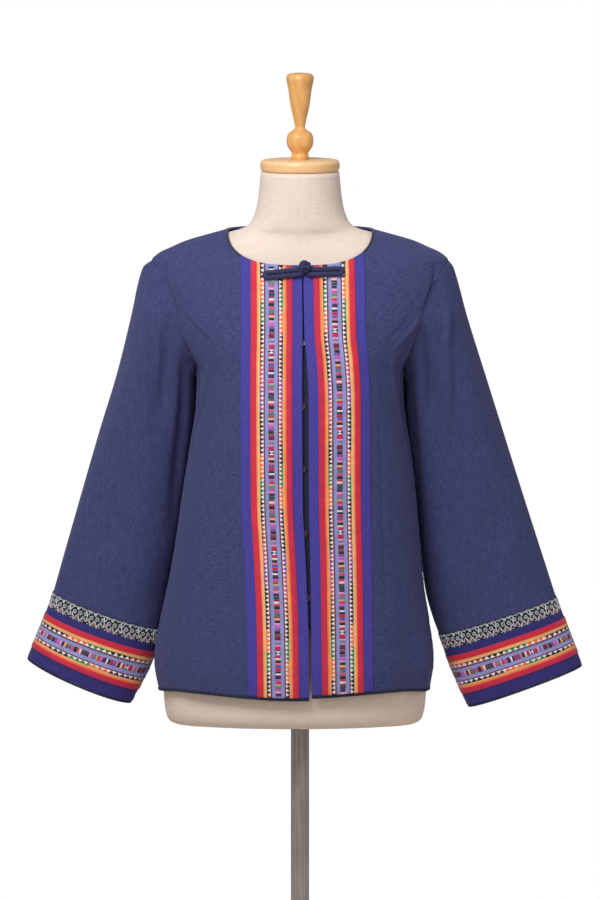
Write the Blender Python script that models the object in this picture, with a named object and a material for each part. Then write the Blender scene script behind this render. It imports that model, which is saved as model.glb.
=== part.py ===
"""Embroidered jacket on a limbless dress form, with its pole and base.

Metres, +Z up. The origin is on the floor under the middle of the whole part. The sizes below count
X from the pole, and all is moved to the origin once it is made. The front faces -Y and the wearer's
left is +X. Cloth pieces are thin closed walls that stand 0.3 mm apart at the seams.
"""

import math

import bmesh
import bpy
from mathutils import Matrix, Vector

CLOTH = 0.002  # wall of the navy cloth
STRIP = 0.001  # strip sewn on the cloth
TAPE = 0.001  # embroidered tape sewn on the strip
GAP = 0.0003  # between pieces that meet
PROUD = 0.0008  # bindings stand this far over the cloth
STEP = 1e-4  # for slopes taken on the surfaces
SIDES = {"right": -1, "left": 1}  # which way X runs on the wearer's two sides

# The jacket's body, one row for each height.
# height, half width, depth of the front, depth of the back, squareness
BODY_ROWS = (
    (0.789, 0.1795, 0.128, 0.113, 2.30),
    (0.830, 0.1850, 0.131, 0.116, 2.30),
    (0.880, 0.1790, 0.129, 0.114, 2.30),
    (0.940, 0.1690, 0.126, 0.107, 2.30),
    (1.000, 0.1615, 0.124, 0.101, 2.30),
    (1.060, 0.1545, 0.123, 0.099, 2.30),
    (1.120, 0.1460, 0.124, 0.102, 2.30),
    (1.170, 0.1385, 0.122, 0.106, 2.35),
    (1.215, 0.1370, 0.116, 0.108, 2.45),
    (1.250, 0.1530, 0.108, 0.109, 2.50),
    (1.285, 0.1780, 0.097, 0.107, 2.50),
    (1.320, 0.1930, 0.084, 0.102, 2.45),
    (1.345, 0.1985, 0.073, 0.095, 2.35),
    (1.363, 0.1970, 0.064, 0.088, 2.25),
    (1.373, 0.1870, 0.057, 0.083, 2.15),
    (1.381, 0.1700, 0.051, 0.079, 2.05),
    (1.389, 0.1520, 0.045, 0.074, 2.00),
    (1.397, 0.1250, 0.038, 0.069, 2.00),
    (1.405, 0.0955, 0.028, 0.063, 2.00),
)
# Below the waist the form, and the jacket on it, stand a little to the right.
# height, X of the middle
SWAY_ROWS = (
    (0.740, -0.0070),
    (0.830, -0.0066),
    (0.918, -0.0058),
    (0.977, -0.0034),
    (1.020, -0.0020),
    (1.120, 0.0),
    (1.620, 0.0),
)
HEM = 0.790  # lower edge of the hem binding
HEM_BAND = 0.004
HEM_RISE = 0.006  # of the hem halfway round each front
HEM_LEFT_RISE = 0.003  # of the hem at the left front's edge over the right's
NECK_BAND = 0.002
NECK_GAP = 0.0006  # from the neck binding to the panels
NECK_EDGE = NECK_BAND + NECK_GAP  # the panels end this far below the neckline
SHOULDER = 1.405  # highest point of the neckline, where the shoulder seam starts
NECK_HALF = 0.0955
NECK_FRONT = 1.362  # the neckline at centre front
NECK_CURVE = (3.0, 2.17)  # exponents of the neckline's curve

# The opening at centre front, one row for each height.
# height, X of the right front's edge, X of the left front's edge
OPENING_ROWS = (
    (0.790, 0.0122, 0.0160),
    (0.886, 0.0110, 0.0148),
    (0.975, 0.0075, 0.0135),
    (1.055, 0.0037, 0.0117),
    (1.190, 0.0030, 0.0112),
    (1.235, 0.0030, 0.0092),
    (1.273, 0.0034, 0.0058),
    (1.360, 0.0028, 0.0042),
)

# Armhole and sleeve.
TIP = 1.363  # shoulder point
UNDERARM = 1.2155
ARMHOLE_HALF = 0.054  # half its width from front to back
ARM_LIFT = 0.0006  # the sleeve starts this far outside the armhole's edge
ARM_HINGE = 0.006  # over this length the sleeve's wall turns away from the body's
ARM_BLEND = 0.035  # over this length the sleeve turns from the armhole's shape to its own
# X and Z of the upper or outer edge, X and Z of the lower or inner edge, Y of the middle,
# half depth, squareness. The left sleeve stands out a little more.
SLEEVE_ROWS = {
    "right": (
        (0.1970, 1.3630, 0.1370, 1.2155, 0.000, 0.054, 2.0),
        (0.2060, 1.3560, 0.1386, 1.2095, 0.004, 0.056, 2.0),
        (0.2130, 1.3400, 0.1390, 1.2010, 0.009, 0.058, 2.0),
        (0.2240, 1.2900, 0.1395, 1.1800, 0.017, 0.059, 2.1),
        (0.2430, 1.2130, 0.1425, 1.1400, 0.025, 0.056, 2.2),
        (0.2670, 1.1340, 0.1505, 1.0830, 0.030, 0.052, 2.2),
        (0.2920, 1.0480, 0.1620, 1.0020, 0.032, 0.049, 2.2),
        (0.3155, 0.9660, 0.1780, 0.9180, 0.032, 0.046, 2.2),
        (0.3370, 0.8930, 0.1925, 0.8420, 0.030, 0.043, 2.2),
        (0.3640, 0.8265, 0.2265, 0.7680, 0.026, 0.040, 2.2),
    ),
    "left": (
        (0.1970, 1.3630, 0.1370, 1.2155, 0.000, 0.054, 2.0),
        (0.2020, 1.3560, 0.1386, 1.2095, 0.004, 0.056, 2.0),
        (0.2080, 1.3400, 0.1390, 1.2010, 0.009, 0.058, 2.0),
        (0.2215, 1.2900, 0.1395, 1.1800, 0.017, 0.059, 2.1),
        (0.2455, 1.2130, 0.1425, 1.1400, 0.025, 0.056, 2.2),
        (0.2703, 1.1340, 0.1490, 1.0830, 0.030, 0.052, 2.2),
        (0.2975, 1.0480, 0.1575, 1.0020, 0.032, 0.049, 2.2),
        (0.3239, 0.9660, 0.1690, 0.9180, 0.032, 0.046, 2.2),
        (0.3478, 0.8930, 0.1925, 0.8420, 0.030, 0.043, 2.2),
        (0.3765, 0.8175, 0.2255, 0.7625, 0.026, 0.040, 2.2),
    ),
}
CUFF_SAG = {"right": 0.004, "left": 0.0}  # the cuff's edge hangs lower at its front and back

# The cuff's layers, as distances from the sleeve's lower end.
CUFF_STRIP = 0.0795
CUFF_TAPE = (0.0165, 0.0690)
CUFF_TRIM = 0.0195
CUFF_BAND = 0.003

# The front edges' layers, as distances from the edge.
BAND_WIDTH = 0.081
BAND_MARGIN = 0.013  # violet-blue strip that shows on each side of the tape
BAND_CELLS = 4  # columns of the grid under the tape

# Soft forms of the cloth, raised or sunk as one smooth bump each.
# turn in degrees from centre front, height, half width in degrees, half height, depth
BODY_FOLDS = (
    (-58, 0.83, 16, 0.10, -0.0035),
    (-84, 0.84, 13, 0.12, 0.0030),
    (52, 0.84, 12, 0.09, -0.0030),
    (66, 0.82, 12, 0.08, 0.0035),
    (-61, 1.24, 15, 0.07, 0.0032),
    (61, 1.24, 15, 0.07, 0.0032),
    (122, 0.85, 15, 0.16, -0.0035),
    (-126, 0.87, 15, 0.17, -0.0035),
    (180, 0.90, 18, 0.20, -0.0030),
    (150, 0.84, 12, 0.12, 0.0025),
    (-152, 0.84, 12, 0.12, 0.0025),
)
DART_PLACE = 0.13  # share of the way from the band to the side seam
DART_SPAN = (0.868, 1.192)
DART_DEPTH = 0.0018
# turn in degrees from the outer edge over the front, distance down the sleeve, half sizes, depth
SLEEVE_FOLDS = (
    (52, 0.13, 26, 0.13, 0.0050),
    (104, 0.10, 26, 0.09, -0.0040),
    (70, 0.30, 24, 0.05, -0.0030),
    (118, 0.34, 28, 0.06, 0.0030),
    (40, 0.38, 22, 0.06, -0.0025),
    (250, 0.28, 26, 0.06, -0.0030),
    (300, 0.14, 24, 0.12, 0.0040),
    (262, 0.37, 24, 0.05, 0.0025),
)

# The placket under the opening: X, and how far its outer face lies under the jacket's.
PLACKET_ROWS = ((-0.013, 0.0050), (-0.003, 0.0050), (0.0085, 0.0050), (0.0175, 0.0029), (0.030, 0.0029))
PLACKET_SPAN = (0.886, 1.350)
PLACKET_WALL = 0.0012
PLACKET_CELLS = 14
BUTTON_HEIGHTS = (0.927, 1.012, 1.097, 1.181, 1.264)
BUTTON_X = 0.0022
BUTTON_RADIUS = 0.0055
BUTTON_THICK = 0.0018

# The corded fastening: X of the two ends and heights of the loop's middle there.
LOOP_ENDS = {"right": ((-0.0020, 1.3512), (-0.0430, 1.3472)), "left": ((0.0140, 1.3512), (0.0520, 1.3522))}
LOOP_CORD = 0.0027  # radius
LOOP_SPREAD = 0.0031  # from the loop's middle to each cord
KNOT_CENTRE = (0.0060, 1.3590)
KNOT_RADIUS = 0.0064

# The linen torso, one row for each height, with the columns of BODY_ROWS.
FORM_ROWS = (
    (0.740, 0.1520, 0.096, 0.090, 2.2),
    (0.744, 0.1620, 0.103, 0.097, 2.2),
    (0.752, 0.1690, 0.108, 0.102, 2.2),
    (0.768, 0.1735, 0.112, 0.106, 2.2),
    (0.800, 0.1755, 0.114, 0.108, 2.2),
    (0.840, 0.1755, 0.114, 0.108, 2.2),
    (0.900, 0.1680, 0.108, 0.102, 2.2),
    (0.970, 0.1460, 0.094, 0.086, 2.2),
    (1.040, 0.1280, 0.088, 0.078, 2.2),
    (1.100, 0.1260, 0.100, 0.082, 2.2),
    (1.160, 0.1290, 0.111, 0.090, 2.2),
    (1.215, 0.1300, 0.106, 0.097, 2.2),
    (1.250, 0.1420, 0.098, 0.099, 2.2),
    (1.285, 0.1600, 0.088, 0.097, 2.2),
    (1.320, 0.1740, 0.075, 0.092, 2.1),
    (1.345, 0.1810, 0.063, 0.085, 1.9),
    (1.361, 0.1830, 0.057, 0.079, 1.8),
    (1.371, 0.1770, 0.054, 0.075, 1.7),
    (1.379, 0.1660, 0.052, 0.072, 1.6),
    (1.387, 0.1480, 0.049, 0.067, 1.5),
    (1.395, 0.1200, 0.047, 0.063, 1.4),
    (1.401, 0.0940, 0.047, 0.060, 1.45),
    (1.407, 0.0735, 0.048, 0.0575, 1.8),
    (1.416, 0.0640, 0.0485, 0.056, 2.0),
    (1.440, 0.0565, 0.050, 0.055, 2.0),
    (1.4811, 0.0520, 0.052, 0.052, 2.0),
)
FORM_TURNS = 28

# Turned pieces: radius and height along the outline, from the bottom up.
CAP_OUTLINE = (
    (0.0470, 1.4814),
    (0.0502, 1.4823),
    (0.0522, 1.4851),
    (0.0528, 1.4892),
    (0.0522, 1.4933),
    (0.0502, 1.4961),
    (0.0470, 1.4970),
)
FINIAL_OUTLINE = (
    (0.0112, 1.4973),
    (0.0117, 1.5010),
    (0.0108, 1.5046),
    (0.0142, 1.5105),
    (0.0171, 1.5160),
    (0.0178, 1.5220),
    (0.0171, 1.5280),
    (0.0142, 1.5330),
    (0.0090, 1.5366),
    (0.0066, 1.5400),
    (0.0080, 1.5480),
    (0.0112, 1.5620),
    (0.0138, 1.5760),
    (0.0153, 1.5885),
    (0.0173, 1.5985),
    (0.0183, 1.6040),
    (0.0176, 1.6080),
    (0.0140, 1.6110),
    (0.0070, 1.6120),
)
FORM_BOTTOM = FORM_ROWS[0][0]
POLE_RADIUS = 0.01225
BASE_RADIUS = 0.170
BASE_THICK = 0.008
HUB_RADIUS = 0.024
HUB_TOP = 0.040

BODY_CELLS = 8  # rows of the grid below the underarm
ARM_TURNS = 20  # points round the armhole and the sleeve
NECK_CELLS = 4  # rows above the shoulder point
FRONT_SHARES = (DART_PLACE, 0.36, 0.60, 0.80, 0.92, 1.0)
BACK_CELLS = 18
SLEEVE_PLACES = (0.0, 0.008, 0.020, 0.040, 0.070, 0.110, 0.155, 0.205, 0.255, 0.310, 0.365)


class Table:
    """Rows of sizes, read on a smooth curve through them at any place in the first column."""

    def __init__(self, rows):
        columns = list(zip(*rows))
        self.places = columns[0]
        self.columns = columns[1:]
        self.slopes = [self.slopes_of(column) for column in self.columns]

    def slopes_of(self, column):
        rises = []
        for i in range(len(column) - 1):
            rises.append((column[i + 1] - column[i]) / (self.places[i + 1] - self.places[i]))
        slopes = [rises[0]]
        for before, after in zip(rises, rises[1:]):
            turns = before * after <= 0
            slopes.append(0.0 if turns else 2 * before * after / (before + after))
        slopes.append(rises[-1])
        return slopes

    def at(self, place):
        i = 0
        while i < len(self.places) - 2 and place > self.places[i + 1]:
            i += 1
        span = self.places[i + 1] - self.places[i]
        share = (place - self.places[i]) / span
        values = []
        for column, slopes in zip(self.columns, self.slopes):
            start, end = column[i], column[i + 1]
            leave, arrive = slopes[i] * span, slopes[i + 1] * span
            if share < 0:
                values.append(start + leave * share)
                continue
            if share > 1:
                values.append(end + arrive * (share - 1))
                continue
            square, cube = share**2, share**3
            value = start * (2 * cube - 3 * square + 1) + end * (3 * square - 2 * cube)
            value += leave * (cube - 2 * square + share) + arrive * (cube - square)
            values.append(value)
        return values


def with_lengths(rows):
    """Puts each row's distance down the sleeve's middle in front of it."""
    measured = []
    length = 0.0
    last = None
    for row in rows:
        middle = Vector(((row[0] + row[2]) / 2, (row[1] + row[3]) / 2))
        if last is not None:
            length += (middle - last).length
        measured.append((length,) + row)
        last = middle
    return measured


BODY = Table(BODY_ROWS)
OPENING = Table(OPENING_ROWS)
SWAY = Table(SWAY_ROWS)
SLEEVES = {name: Table(with_lengths(rows)) for name, rows in SLEEVE_ROWS.items()}
FORM = Table(FORM_ROWS)


def bump(distance):
    """1 at the middle, falling smoothly to 0 at a distance of 1."""
    if abs(distance) >= 1:
        return 0.0
    return (1 + math.cos(math.pi * distance)) / 2


def oval(turn, square):
    """Sideways and forward shares of a rounded section at this turn from its front."""
    sideways, forward = math.sin(turn), math.cos(turn)
    reach = (abs(sideways) ** square + abs(forward) ** square) ** (-1 / square)
    return sideways * reach, forward * reach


def section_point(table, turn, height):
    half_width, front, back, square = table.at(height)
    sideways, forward = oval(turn, square)
    depth = front if forward > 0 else back
    return Vector((SWAY.at(height)[0] + half_width * sideways, -depth * forward, height))


def direction(point, first, second):
    """The outward direction of a surface whose point depends on two numbers."""
    across = point(first + STEP, second) - point(first - STEP, second)
    along = point(first, second + STEP) - point(first, second - STEP)
    return across.cross(along).normalized()


def turn_at_x(x, height):
    """The turn from centre front at which the jacket's front lies at this X."""
    half_width, _, _, square = BODY.at(height)
    away = x - SWAY.at(height)[0]
    share = min(abs(away) / half_width, 1.0)
    return math.copysign(math.atan2(share, (1 - share**square) ** (1 / square)), away)


def armhole_turn(height, depth_column):
    """The turn at which a panel ends, at the armhole's edge or at the side or shoulder seam."""
    values = BODY.at(height)
    half_width, depth, square = values[0], values[depth_column], values[3]
    middle = (TIP + UNDERARM) / 2
    away = (height - middle) / (TIP - middle)
    if abs(away) >= 1:
        return math.pi / 2 - GAP / 2 / depth
    forward = ARMHOLE_HALF * math.sqrt(1 - away**2) / depth
    sideways = (1 - forward**square) ** (1 / square)
    return math.atan2(sideways, forward)


def neckline(x, grow):
    """Height of the neckline at this X, on a curve that lies outside the finished edge by grow."""
    share = min(abs(x) / (NECK_HALF + grow), 1.0)
    first, second = NECK_CURVE
    low = NECK_FRONT - grow
    high = SHOULDER - grow / 4
    return low + (high - low) * (1 - (1 - share**first) ** (1 / second))


def neck_height(turn, grow):
    """Height of the neckline at this turn, found by halving on the front."""
    facing = math.cos(turn)
    if facing <= 0:
        return SHOULDER - grow * (0.25 + 0.75 * facing**2)
    low, high = NECK_FRONT - 2 * NECK_BAND, SHOULDER - grow / 4
    for _ in range(40):
        middle = (low + high) / 2
        if neckline(section_point(BODY, turn, middle).x, grow) > middle:
            low = middle
        else:
            high = middle
    return (low + high) / 2


def hem_height(turn):
    """The hem lifts a little over each front and hangs lowest at the right front's edge."""
    facing = math.cos(turn)
    if facing <= 0:
        return HEM
    lift = HEM_RISE * math.sin(2 * turn) ** 2
    if turn > 0:
        lift += HEM_LEFT_RISE * facing**2
    return HEM + lift


def body_fold(turn, height):
    depth = 0.0
    for place, level, half_turn, half_height, size in BODY_FOLDS:
        away = (math.degrees(turn) - place + 180) % 360 - 180
        depth += size * bump(away / half_turn) * bump((height - level) / half_height)
    return depth


def body_sample(turn, height, dart=0.0):
    """Point and outward direction of the jacket's outer face."""
    outward = direction(lambda a, b: section_point(BODY, a, b), turn, height)
    point = section_point(BODY, turn, height)
    return point + outward * (body_fold(turn, height) - dart), outward


def dart_depth(height):
    low, high = DART_SPAN
    middle = (low + high) / 2
    return DART_DEPTH * bump((height - middle) / (high - middle)) ** 0.5


def body_levels():
    """Heights of the grid's rows at the side and shoulder seams, from the hem to the neck."""
    low = HEM + HEM_BAND + GAP
    levels = [low + (UNDERARM - low) * i / BODY_CELLS for i in range(BODY_CELLS)]
    middle = (TIP + UNDERARM) / 2
    half = ARM_TURNS // 2
    for i in range(half + 1):
        levels.append(middle - (TIP - middle) * math.cos(math.pi * i / half))
    top = SHOULDER - NECK_EDGE / 4
    levels += [TIP + (top - TIP) * i / NECK_CELLS for i in range(1, NECK_CELLS + 1)]
    return levels


def stretch(level, low, high):
    """Moves a seam's level into the span that a column has from its hem to its neckline."""
    first, last = HEM + HEM_BAND + GAP, SHOULDER - NECK_EDGE / 4
    return low + (high - low) * (level - first) / (last - first)


def band_offsets():
    """Distances of the band's columns from the front edge."""
    tape = BAND_WIDTH - 2 * BAND_MARGIN
    inner = [BAND_MARGIN + tape * i / BAND_CELLS for i in range(BAND_CELLS + 1)]
    return [0.0] + inner + [BAND_WIDTH]


def edge_x(side, height, offset):
    """X of a line that runs beside the front edge at this distance from it."""
    right_edge, left_edge = OPENING.at(height)
    return right_edge - offset if side < 0 else left_edge + offset


def seam_turn(height, share, side):
    """The turn this share of the way from the band's outer edge to a straight side seam."""
    band = abs(turn_at_x(edge_x(side, height, BAND_WIDTH), height))
    return side * (band + share * (math.pi / 2 - band))


def column_span(side, share):
    """Heights at which a column between the band and the seam leaves the hem and meets the neck."""
    low = hem_height(seam_turn(HEM, share, side)) + HEM_BAND + GAP
    high = SHOULDER
    for _ in range(12):
        high = neck_height(seam_turn(high, share, side), NECK_EDGE)
    return low, high


def side_column(side, level, share):
    """Turn and height of a point that lies this share of the way from the band to the seam."""
    height = stretch(level, *column_span(side, share))
    band = abs(turn_at_x(edge_x(side, height, BAND_WIDTH), height))
    seam = armhole_turn(level, 1)
    return side * (band + share * (seam - band)), height


def front_places(side):
    """Rows of turn and height over one front, from the opening to the seam. side is -1 on the right."""
    places = []
    for level in body_levels():
        row = []
        for offset in band_offsets():
            rough = edge_x(side, level, offset)
            low = hem_height(turn_at_x(rough, HEM)) + HEM_BAND + GAP
            height = stretch(level, low, neckline(rough, NECK_EDGE))
            row.append((turn_at_x(edge_x(side, height, offset), height), height))
        row += [side_column(side, level, share) for share in FRONT_SHARES]
        places.append(row)
    return places


def back_places():
    places = []
    low = HEM + HEM_BAND + GAP
    for level in body_levels():
        seam = math.pi - armhole_turn(level, 2)
        row = []
        for i in range(BACK_CELLS + 1):
            share = i / BACK_CELLS
            high = neck_height(math.pi * (0.5 + share), NECK_EDGE)
            row.append((seam + (2 * math.pi - 2 * seam) * share, stretch(level, low, high)))
        places.append(row)
    return places


def edge_turns(row):
    """Turns of the body's columns in one row, from the left front's edge round to the right's."""
    left = [turn for turn, _ in front_places(1)[row]]
    back = [turn for turn, _ in back_places()[row][1:-1]]
    right = [turn + 2 * math.pi for turn, _ in front_places(-1)[row]]
    return left + back + right[::-1]


def front_grid(side):
    dart_column = BAND_CELLS + 3
    grid = []
    for row in front_places(side):
        samples = []
        for column, (turn, height) in enumerate(row):
            dart = dart_depth(height) if column == dart_column else 0.0
            samples.append(body_sample(turn, height, dart))
        grid.append(samples)
    return grid


def back_grid():
    return [[body_sample(turn, height) for turn, height in row] for row in back_places()]


def armhole_sample(turn, shrink):
    """A sample of the armhole's edge, on the jacket's body. turn runs from the shoulder point."""
    middle = (TIP + UNDERARM) / 2
    height = middle + (TIP - middle - shrink) * math.cos(turn)
    forward = (ARMHOLE_HALF - shrink) * math.sin(turn)
    _, front, back, square = BODY.at(height)
    share = forward / (front if forward > 0 else back)
    sideways = (1 - abs(share) ** square) ** (1 / square)
    return body_sample(math.atan2(sideways, share), height)


def sleeve_section(turn, length, name):
    table = SLEEVES[name]
    outer_x, outer_z, inner_x, inner_z, shift, depth, square = table.at(length)
    middle = Vector(((outer_x + inner_x) / 2, shift, (outer_z + inner_z) / 2))
    outward = Vector(((outer_x - inner_x) / 2, 0.0, (outer_z - inner_z) / 2))
    forward, upward = oval(turn, square)
    sag = CUFF_SAG[name] * (forward * length / table.places[-1]) ** 2
    return middle + outward * upward + Vector((0.0, -depth * forward, -sag))


def sleeve_point(turn, length, name):
    """A sleeve's outer face, as on the left. It starts on the armhole and takes its own shape below."""
    point = sleeve_section(turn, length, name)
    if length < ARM_BLEND:
        share = max(length, 0.0) / ARM_BLEND
        start = armhole_sample(turn, GAP)[0] + Vector((ARM_LIFT, 0.0, 0.0))
        point += (start - sleeve_section(turn, 0.0, name)) * (1 - share * share * (3 - 2 * share))
    return point


def sleeve_fold(turn, length):
    depth = 0.0
    for place, level, half_turn, half_length, size in SLEEVE_FOLDS:
        away = (math.degrees(turn) - place + 180) % 360 - 180
        depth += size * bump(away / half_turn) * bump((length - level) / half_length)
    return depth


def sleeve_outward(turn, length, name):
    """The sleeve's outward direction, which starts in line with the body's where they run on."""
    outward = direction(lambda a, b: sleeve_point(a, b, name), turn, max(length, STEP))
    if length < ARM_HINGE:
        facing = armhole_sample(turn, GAP)[1]
        share = max(outward.dot(facing), 0.0) * (1 - length / ARM_HINGE)
        outward = outward.lerp(facing, share).normalized()
    return outward


def sleeve_sample(turn, length, name):
    outward = sleeve_outward(turn, length, name)
    point = sleeve_point(turn, length, name) + outward * sleeve_fold(turn, length)
    side = SIDES[name]
    return Vector((side * point.x, point.y, point.z)), Vector((side * outward.x, outward.y, outward.z))


def sleeve_grid(lengths, name):
    """Rows of samples round one sleeve."""
    turns = [SIDES[name] * 2 * math.pi * i / ARM_TURNS for i in range(ARM_TURNS)]
    return [[sleeve_sample(turn, length, name) for turn in turns] for length in lengths]


def material(name, colour, roughness, metallic=0.0):
    made = bpy.data.materials.new(name)
    made.use_nodes = True
    made.diffuse_color = (*colour, 1.0)
    shader = made.node_tree.nodes["Principled BSDF"]
    shader.inputs["Base Color"].default_value = (*colour, 1.0)
    shader.inputs["Roughness"].default_value = roughness
    shader.inputs["Metallic"].default_value = metallic
    return made


def add_object(name, mesh, finish):
    mesh.materials.append(finish)
    mesh.shade_smooth()
    mesh.set_sharp_from_angle(angle=math.radians(50))
    made = bpy.data.objects.new(name, mesh)
    bpy.context.scene.collection.objects.link(made)
    return made


def mesh_of(name, points, faces):
    """A closed mesh whose faces all point outwards."""
    mesh = bpy.data.meshes.new(name)
    mesh.from_pydata(points, [], faces)
    shape = bmesh.new()
    shape.from_mesh(mesh)
    bmesh.ops.recalc_face_normals(shape, faces=shape.faces)
    shape.to_mesh(mesh)
    shape.free()
    return mesh


def halved(a, b, c, d):
    return [(a, b, c), (a, c, d)]


def wall(name, grid, high, low, finish, ring=False):
    """A closed wall between two distances from a grid's face. Each may be one number or one a column."""
    rows, columns = len(grid), len(grid[0])
    highs = high if isinstance(high, list) else [high] * columns
    lows = low if isinstance(low, list) else [low] * columns
    points = []
    for levels in (highs, lows):
        for row in grid:
            points += [point + outward * level for (point, outward), level in zip(row, levels)]
    under = rows * columns
    faces = []
    cells = columns if ring else columns - 1
    for i in range(rows - 1):
        for j in range(cells):
            a, b = i * columns + j, i * columns + (j + 1) % columns
            c, d = b + columns, a + columns
            faces += halved(a, b, c, d)
            faces += halved(a + under, b + under, c + under, d + under)
    for start in (0, (rows - 1) * columns):
        for j in range(cells):
            a, b = start + j, start + (j + 1) % columns
            faces += halved(a, b, b + under, a + under)
    if not ring:
        for start in (0, columns - 1):
            for i in range(rows - 1):
                a, b = i * columns + start, (i + 1) * columns + start
                faces += halved(a, b, b + under, a + under)
    return add_object(name, mesh_of(name, points, faces), finish)


def turned(name, outline, sides, finish):
    """A solid turned round the Z axis from an outline of radius and height."""
    points = []
    for radius, height in outline:
        for i in range(sides):
            turn = 2 * math.pi * i / sides
            points.append((radius * math.cos(turn), radius * math.sin(turn), height))
    faces = [tuple(range(sides)), tuple(range(len(points) - sides, len(points)))]
    for i in range(len(outline) - 1):
        for j in range(sides):
            a, b = i * sides + j, i * sides + (j + 1) % sides
            faces.append((a, b, b + sides, a + sides))
    return add_object(name, mesh_of(name, points, faces), finish)


def make_body(navy, violet, stitched):
    """Fronts and back, and on the fronts the strips with their tapes."""
    for name, side in SIDES.items():
        grid = front_grid(side)
        wall(f"front_{name}", grid, 0.0, -CLOTH, navy)
        columns = BAND_CELLS + 3
        strip = [row[:columns] for row in grid]
        wall(f"strip_{name}", strip, GAP + STRIP, GAP, violet)
        tape = [row[1 : columns - 1] for row in grid]
        low = GAP + STRIP + GAP
        wall(f"tape_{name}", tape, low + TAPE, low, stitched)
    wall("back", back_grid(), 0.0, -CLOTH, navy)


def make_bindings(dark):
    hem = []
    for lift in (0.0, HEM_BAND):
        row = []
        for turn in edge_turns(0):
            signed = (turn + math.pi) % (2 * math.pi) - math.pi
            row.append(body_sample(signed, hem_height(signed) + lift))
        hem.append(row)
    wall("hem_binding", hem, PROUD, -CLOTH - GAP, dark)
    neck = []
    for grow in (NECK_BAND, 0.0):
        neck.append([body_sample(turn, neck_height(turn, grow)) for turn in edge_turns(-1)])
    wall("neck_binding", neck, PROUD, -CLOTH - GAP, dark)


def make_sleeves(navy, violet, stitched, trim, dark):
    low = GAP + STRIP + GAP
    for name in SIDES:
        length = SLEEVES[name].places[-1]
        end = length - CUFF_BAND
        layers = [end - CUFF_STRIP, end - CUFF_TAPE[1], end - CUFF_TAPE[0], end]
        trim_span = (layers[0] - GAP - CUFF_TRIM, layers[0] - GAP)
        places = list(SLEEVE_PLACES) + [trim_span[0]] + layers
        wall(f"sleeve_{name}", sleeve_grid(places, name), 0.0, -CLOTH, navy, ring=True)
        wall(f"cuff_strip_{name}", sleeve_grid(layers, name), GAP + STRIP, GAP, violet, ring=True)
        wall(f"cuff_tape_{name}", sleeve_grid(layers[1:3], name), low + TAPE, low, stitched, ring=True)
        wall(f"cuff_trim_{name}", sleeve_grid(trim_span, name), GAP + STRIP, GAP, trim, ring=True)
        edge = sleeve_grid([end + GAP, length], name)
        wall(f"cuff_binding_{name}", edge, PROUD, -CLOTH - GAP, dark, ring=True)


def make_placket(dark, horn):
    """The underlap behind the opening, and the buttons on it."""
    low, high = PLACKET_SPAN
    grid = []
    for i in range(PLACKET_CELLS + 1):
        height = low + (high - low) * i / PLACKET_CELLS
        shift = edge_x(-1, height, 0.0) - edge_x(-1, high, 0.0)
        grid.append([body_sample(turn_at_x(x + shift, height), height) for x, _ in PLACKET_ROWS])
    faces = [-depth for _, depth in PLACKET_ROWS]
    backs = [face - PLACKET_WALL for face in faces]
    wall("placket", grid, faces, backs, dark)
    for number, height in enumerate(BUTTON_HEIGHTS, 1):
        shift = edge_x(-1, height, 0.0) - edge_x(-1, high, 0.0)
        point, outward = body_sample(turn_at_x(BUTTON_X + shift, height), height)
        lift = -PLACKET_ROWS[0][1] + GAP + BUTTON_THICK / 2
        mesh = bpy.data.meshes.new(f"button_{number}")
        shape = bmesh.new()
        bmesh.ops.create_cone(shape, cap_ends=True, segments=16, radius1=BUTTON_RADIUS,
                              radius2=BUTTON_RADIUS, depth=BUTTON_THICK)
        facing = outward.to_track_quat("Z", "Y").to_matrix().to_4x4()
        facing.translation = point + outward * lift
        bmesh.ops.transform(shape, matrix=facing, verts=shape.verts)
        shape.to_mesh(mesh)
        shape.free()
        add_object(f"button_{number}", mesh, horn)


def loop_path(ends):
    """A long narrow ring on the front bands, from the knot to the loop's far end."""
    (near_x, near_z), (far_x, far_z) = ends
    along = Vector((far_x - near_x, far_z - near_z)).normalized()
    aside = Vector((-along.y, along.x))
    flat = []
    for centre, start in ((Vector((near_x, near_z)), 90), (Vector((far_x, far_z)), -90)):
        for step in range(5):
            turn = math.radians(start + 45 * step)
            flat.append(centre + (along * math.cos(turn) + aside * math.sin(turn)) * LOOP_SPREAD)
    lift = 3 * GAP + STRIP + TAPE + LOOP_CORD
    path = []
    for i, point in enumerate(flat):
        path.append(point)
        following = flat[(i + 1) % len(flat)]
        if (following - point).length > 4 * LOOP_SPREAD:
            path += [point.lerp(following, share / 4) for share in (1, 2, 3)]
    placed = []
    for x, height in path:
        on_body, outward = body_sample(turn_at_x(x, height), height)
        placed.append(on_body + outward * lift)
    return placed


def make_frog(cord):
    for name, ends in LOOP_ENDS.items():
        curve = bpy.data.curves.new(f"frog_loop_{name}", "CURVE")
        curve.dimensions = "3D"
        curve.bevel_depth = LOOP_CORD
        curve.bevel_resolution = 2
        path = loop_path(ends)
        spline = curve.splines.new("POLY")
        spline.points.add(len(path) - 1)
        for point, place in zip(spline.points, path):
            point.co = (*place, 1.0)
        spline.use_cyclic_u = True
        curve.materials.append(cord)
        made = bpy.data.objects.new(f"frog_loop_{name}", curve)
        bpy.context.scene.collection.objects.link(made)
    x, height = KNOT_CENTRE
    point, outward = body_sample(turn_at_x(x, height), height)
    mesh = bpy.data.meshes.new("frog_knot")
    shape = bmesh.new()
    bmesh.ops.create_uvsphere(shape, u_segments=16, v_segments=10, radius=KNOT_RADIUS)
    lift = 3 * GAP + STRIP + TAPE + KNOT_RADIUS
    bmesh.ops.translate(shape, vec=point + outward * lift, verts=shape.verts)
    shape.to_mesh(mesh)
    shape.free()
    add_object("frog_knot", mesh, cord)


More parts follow.
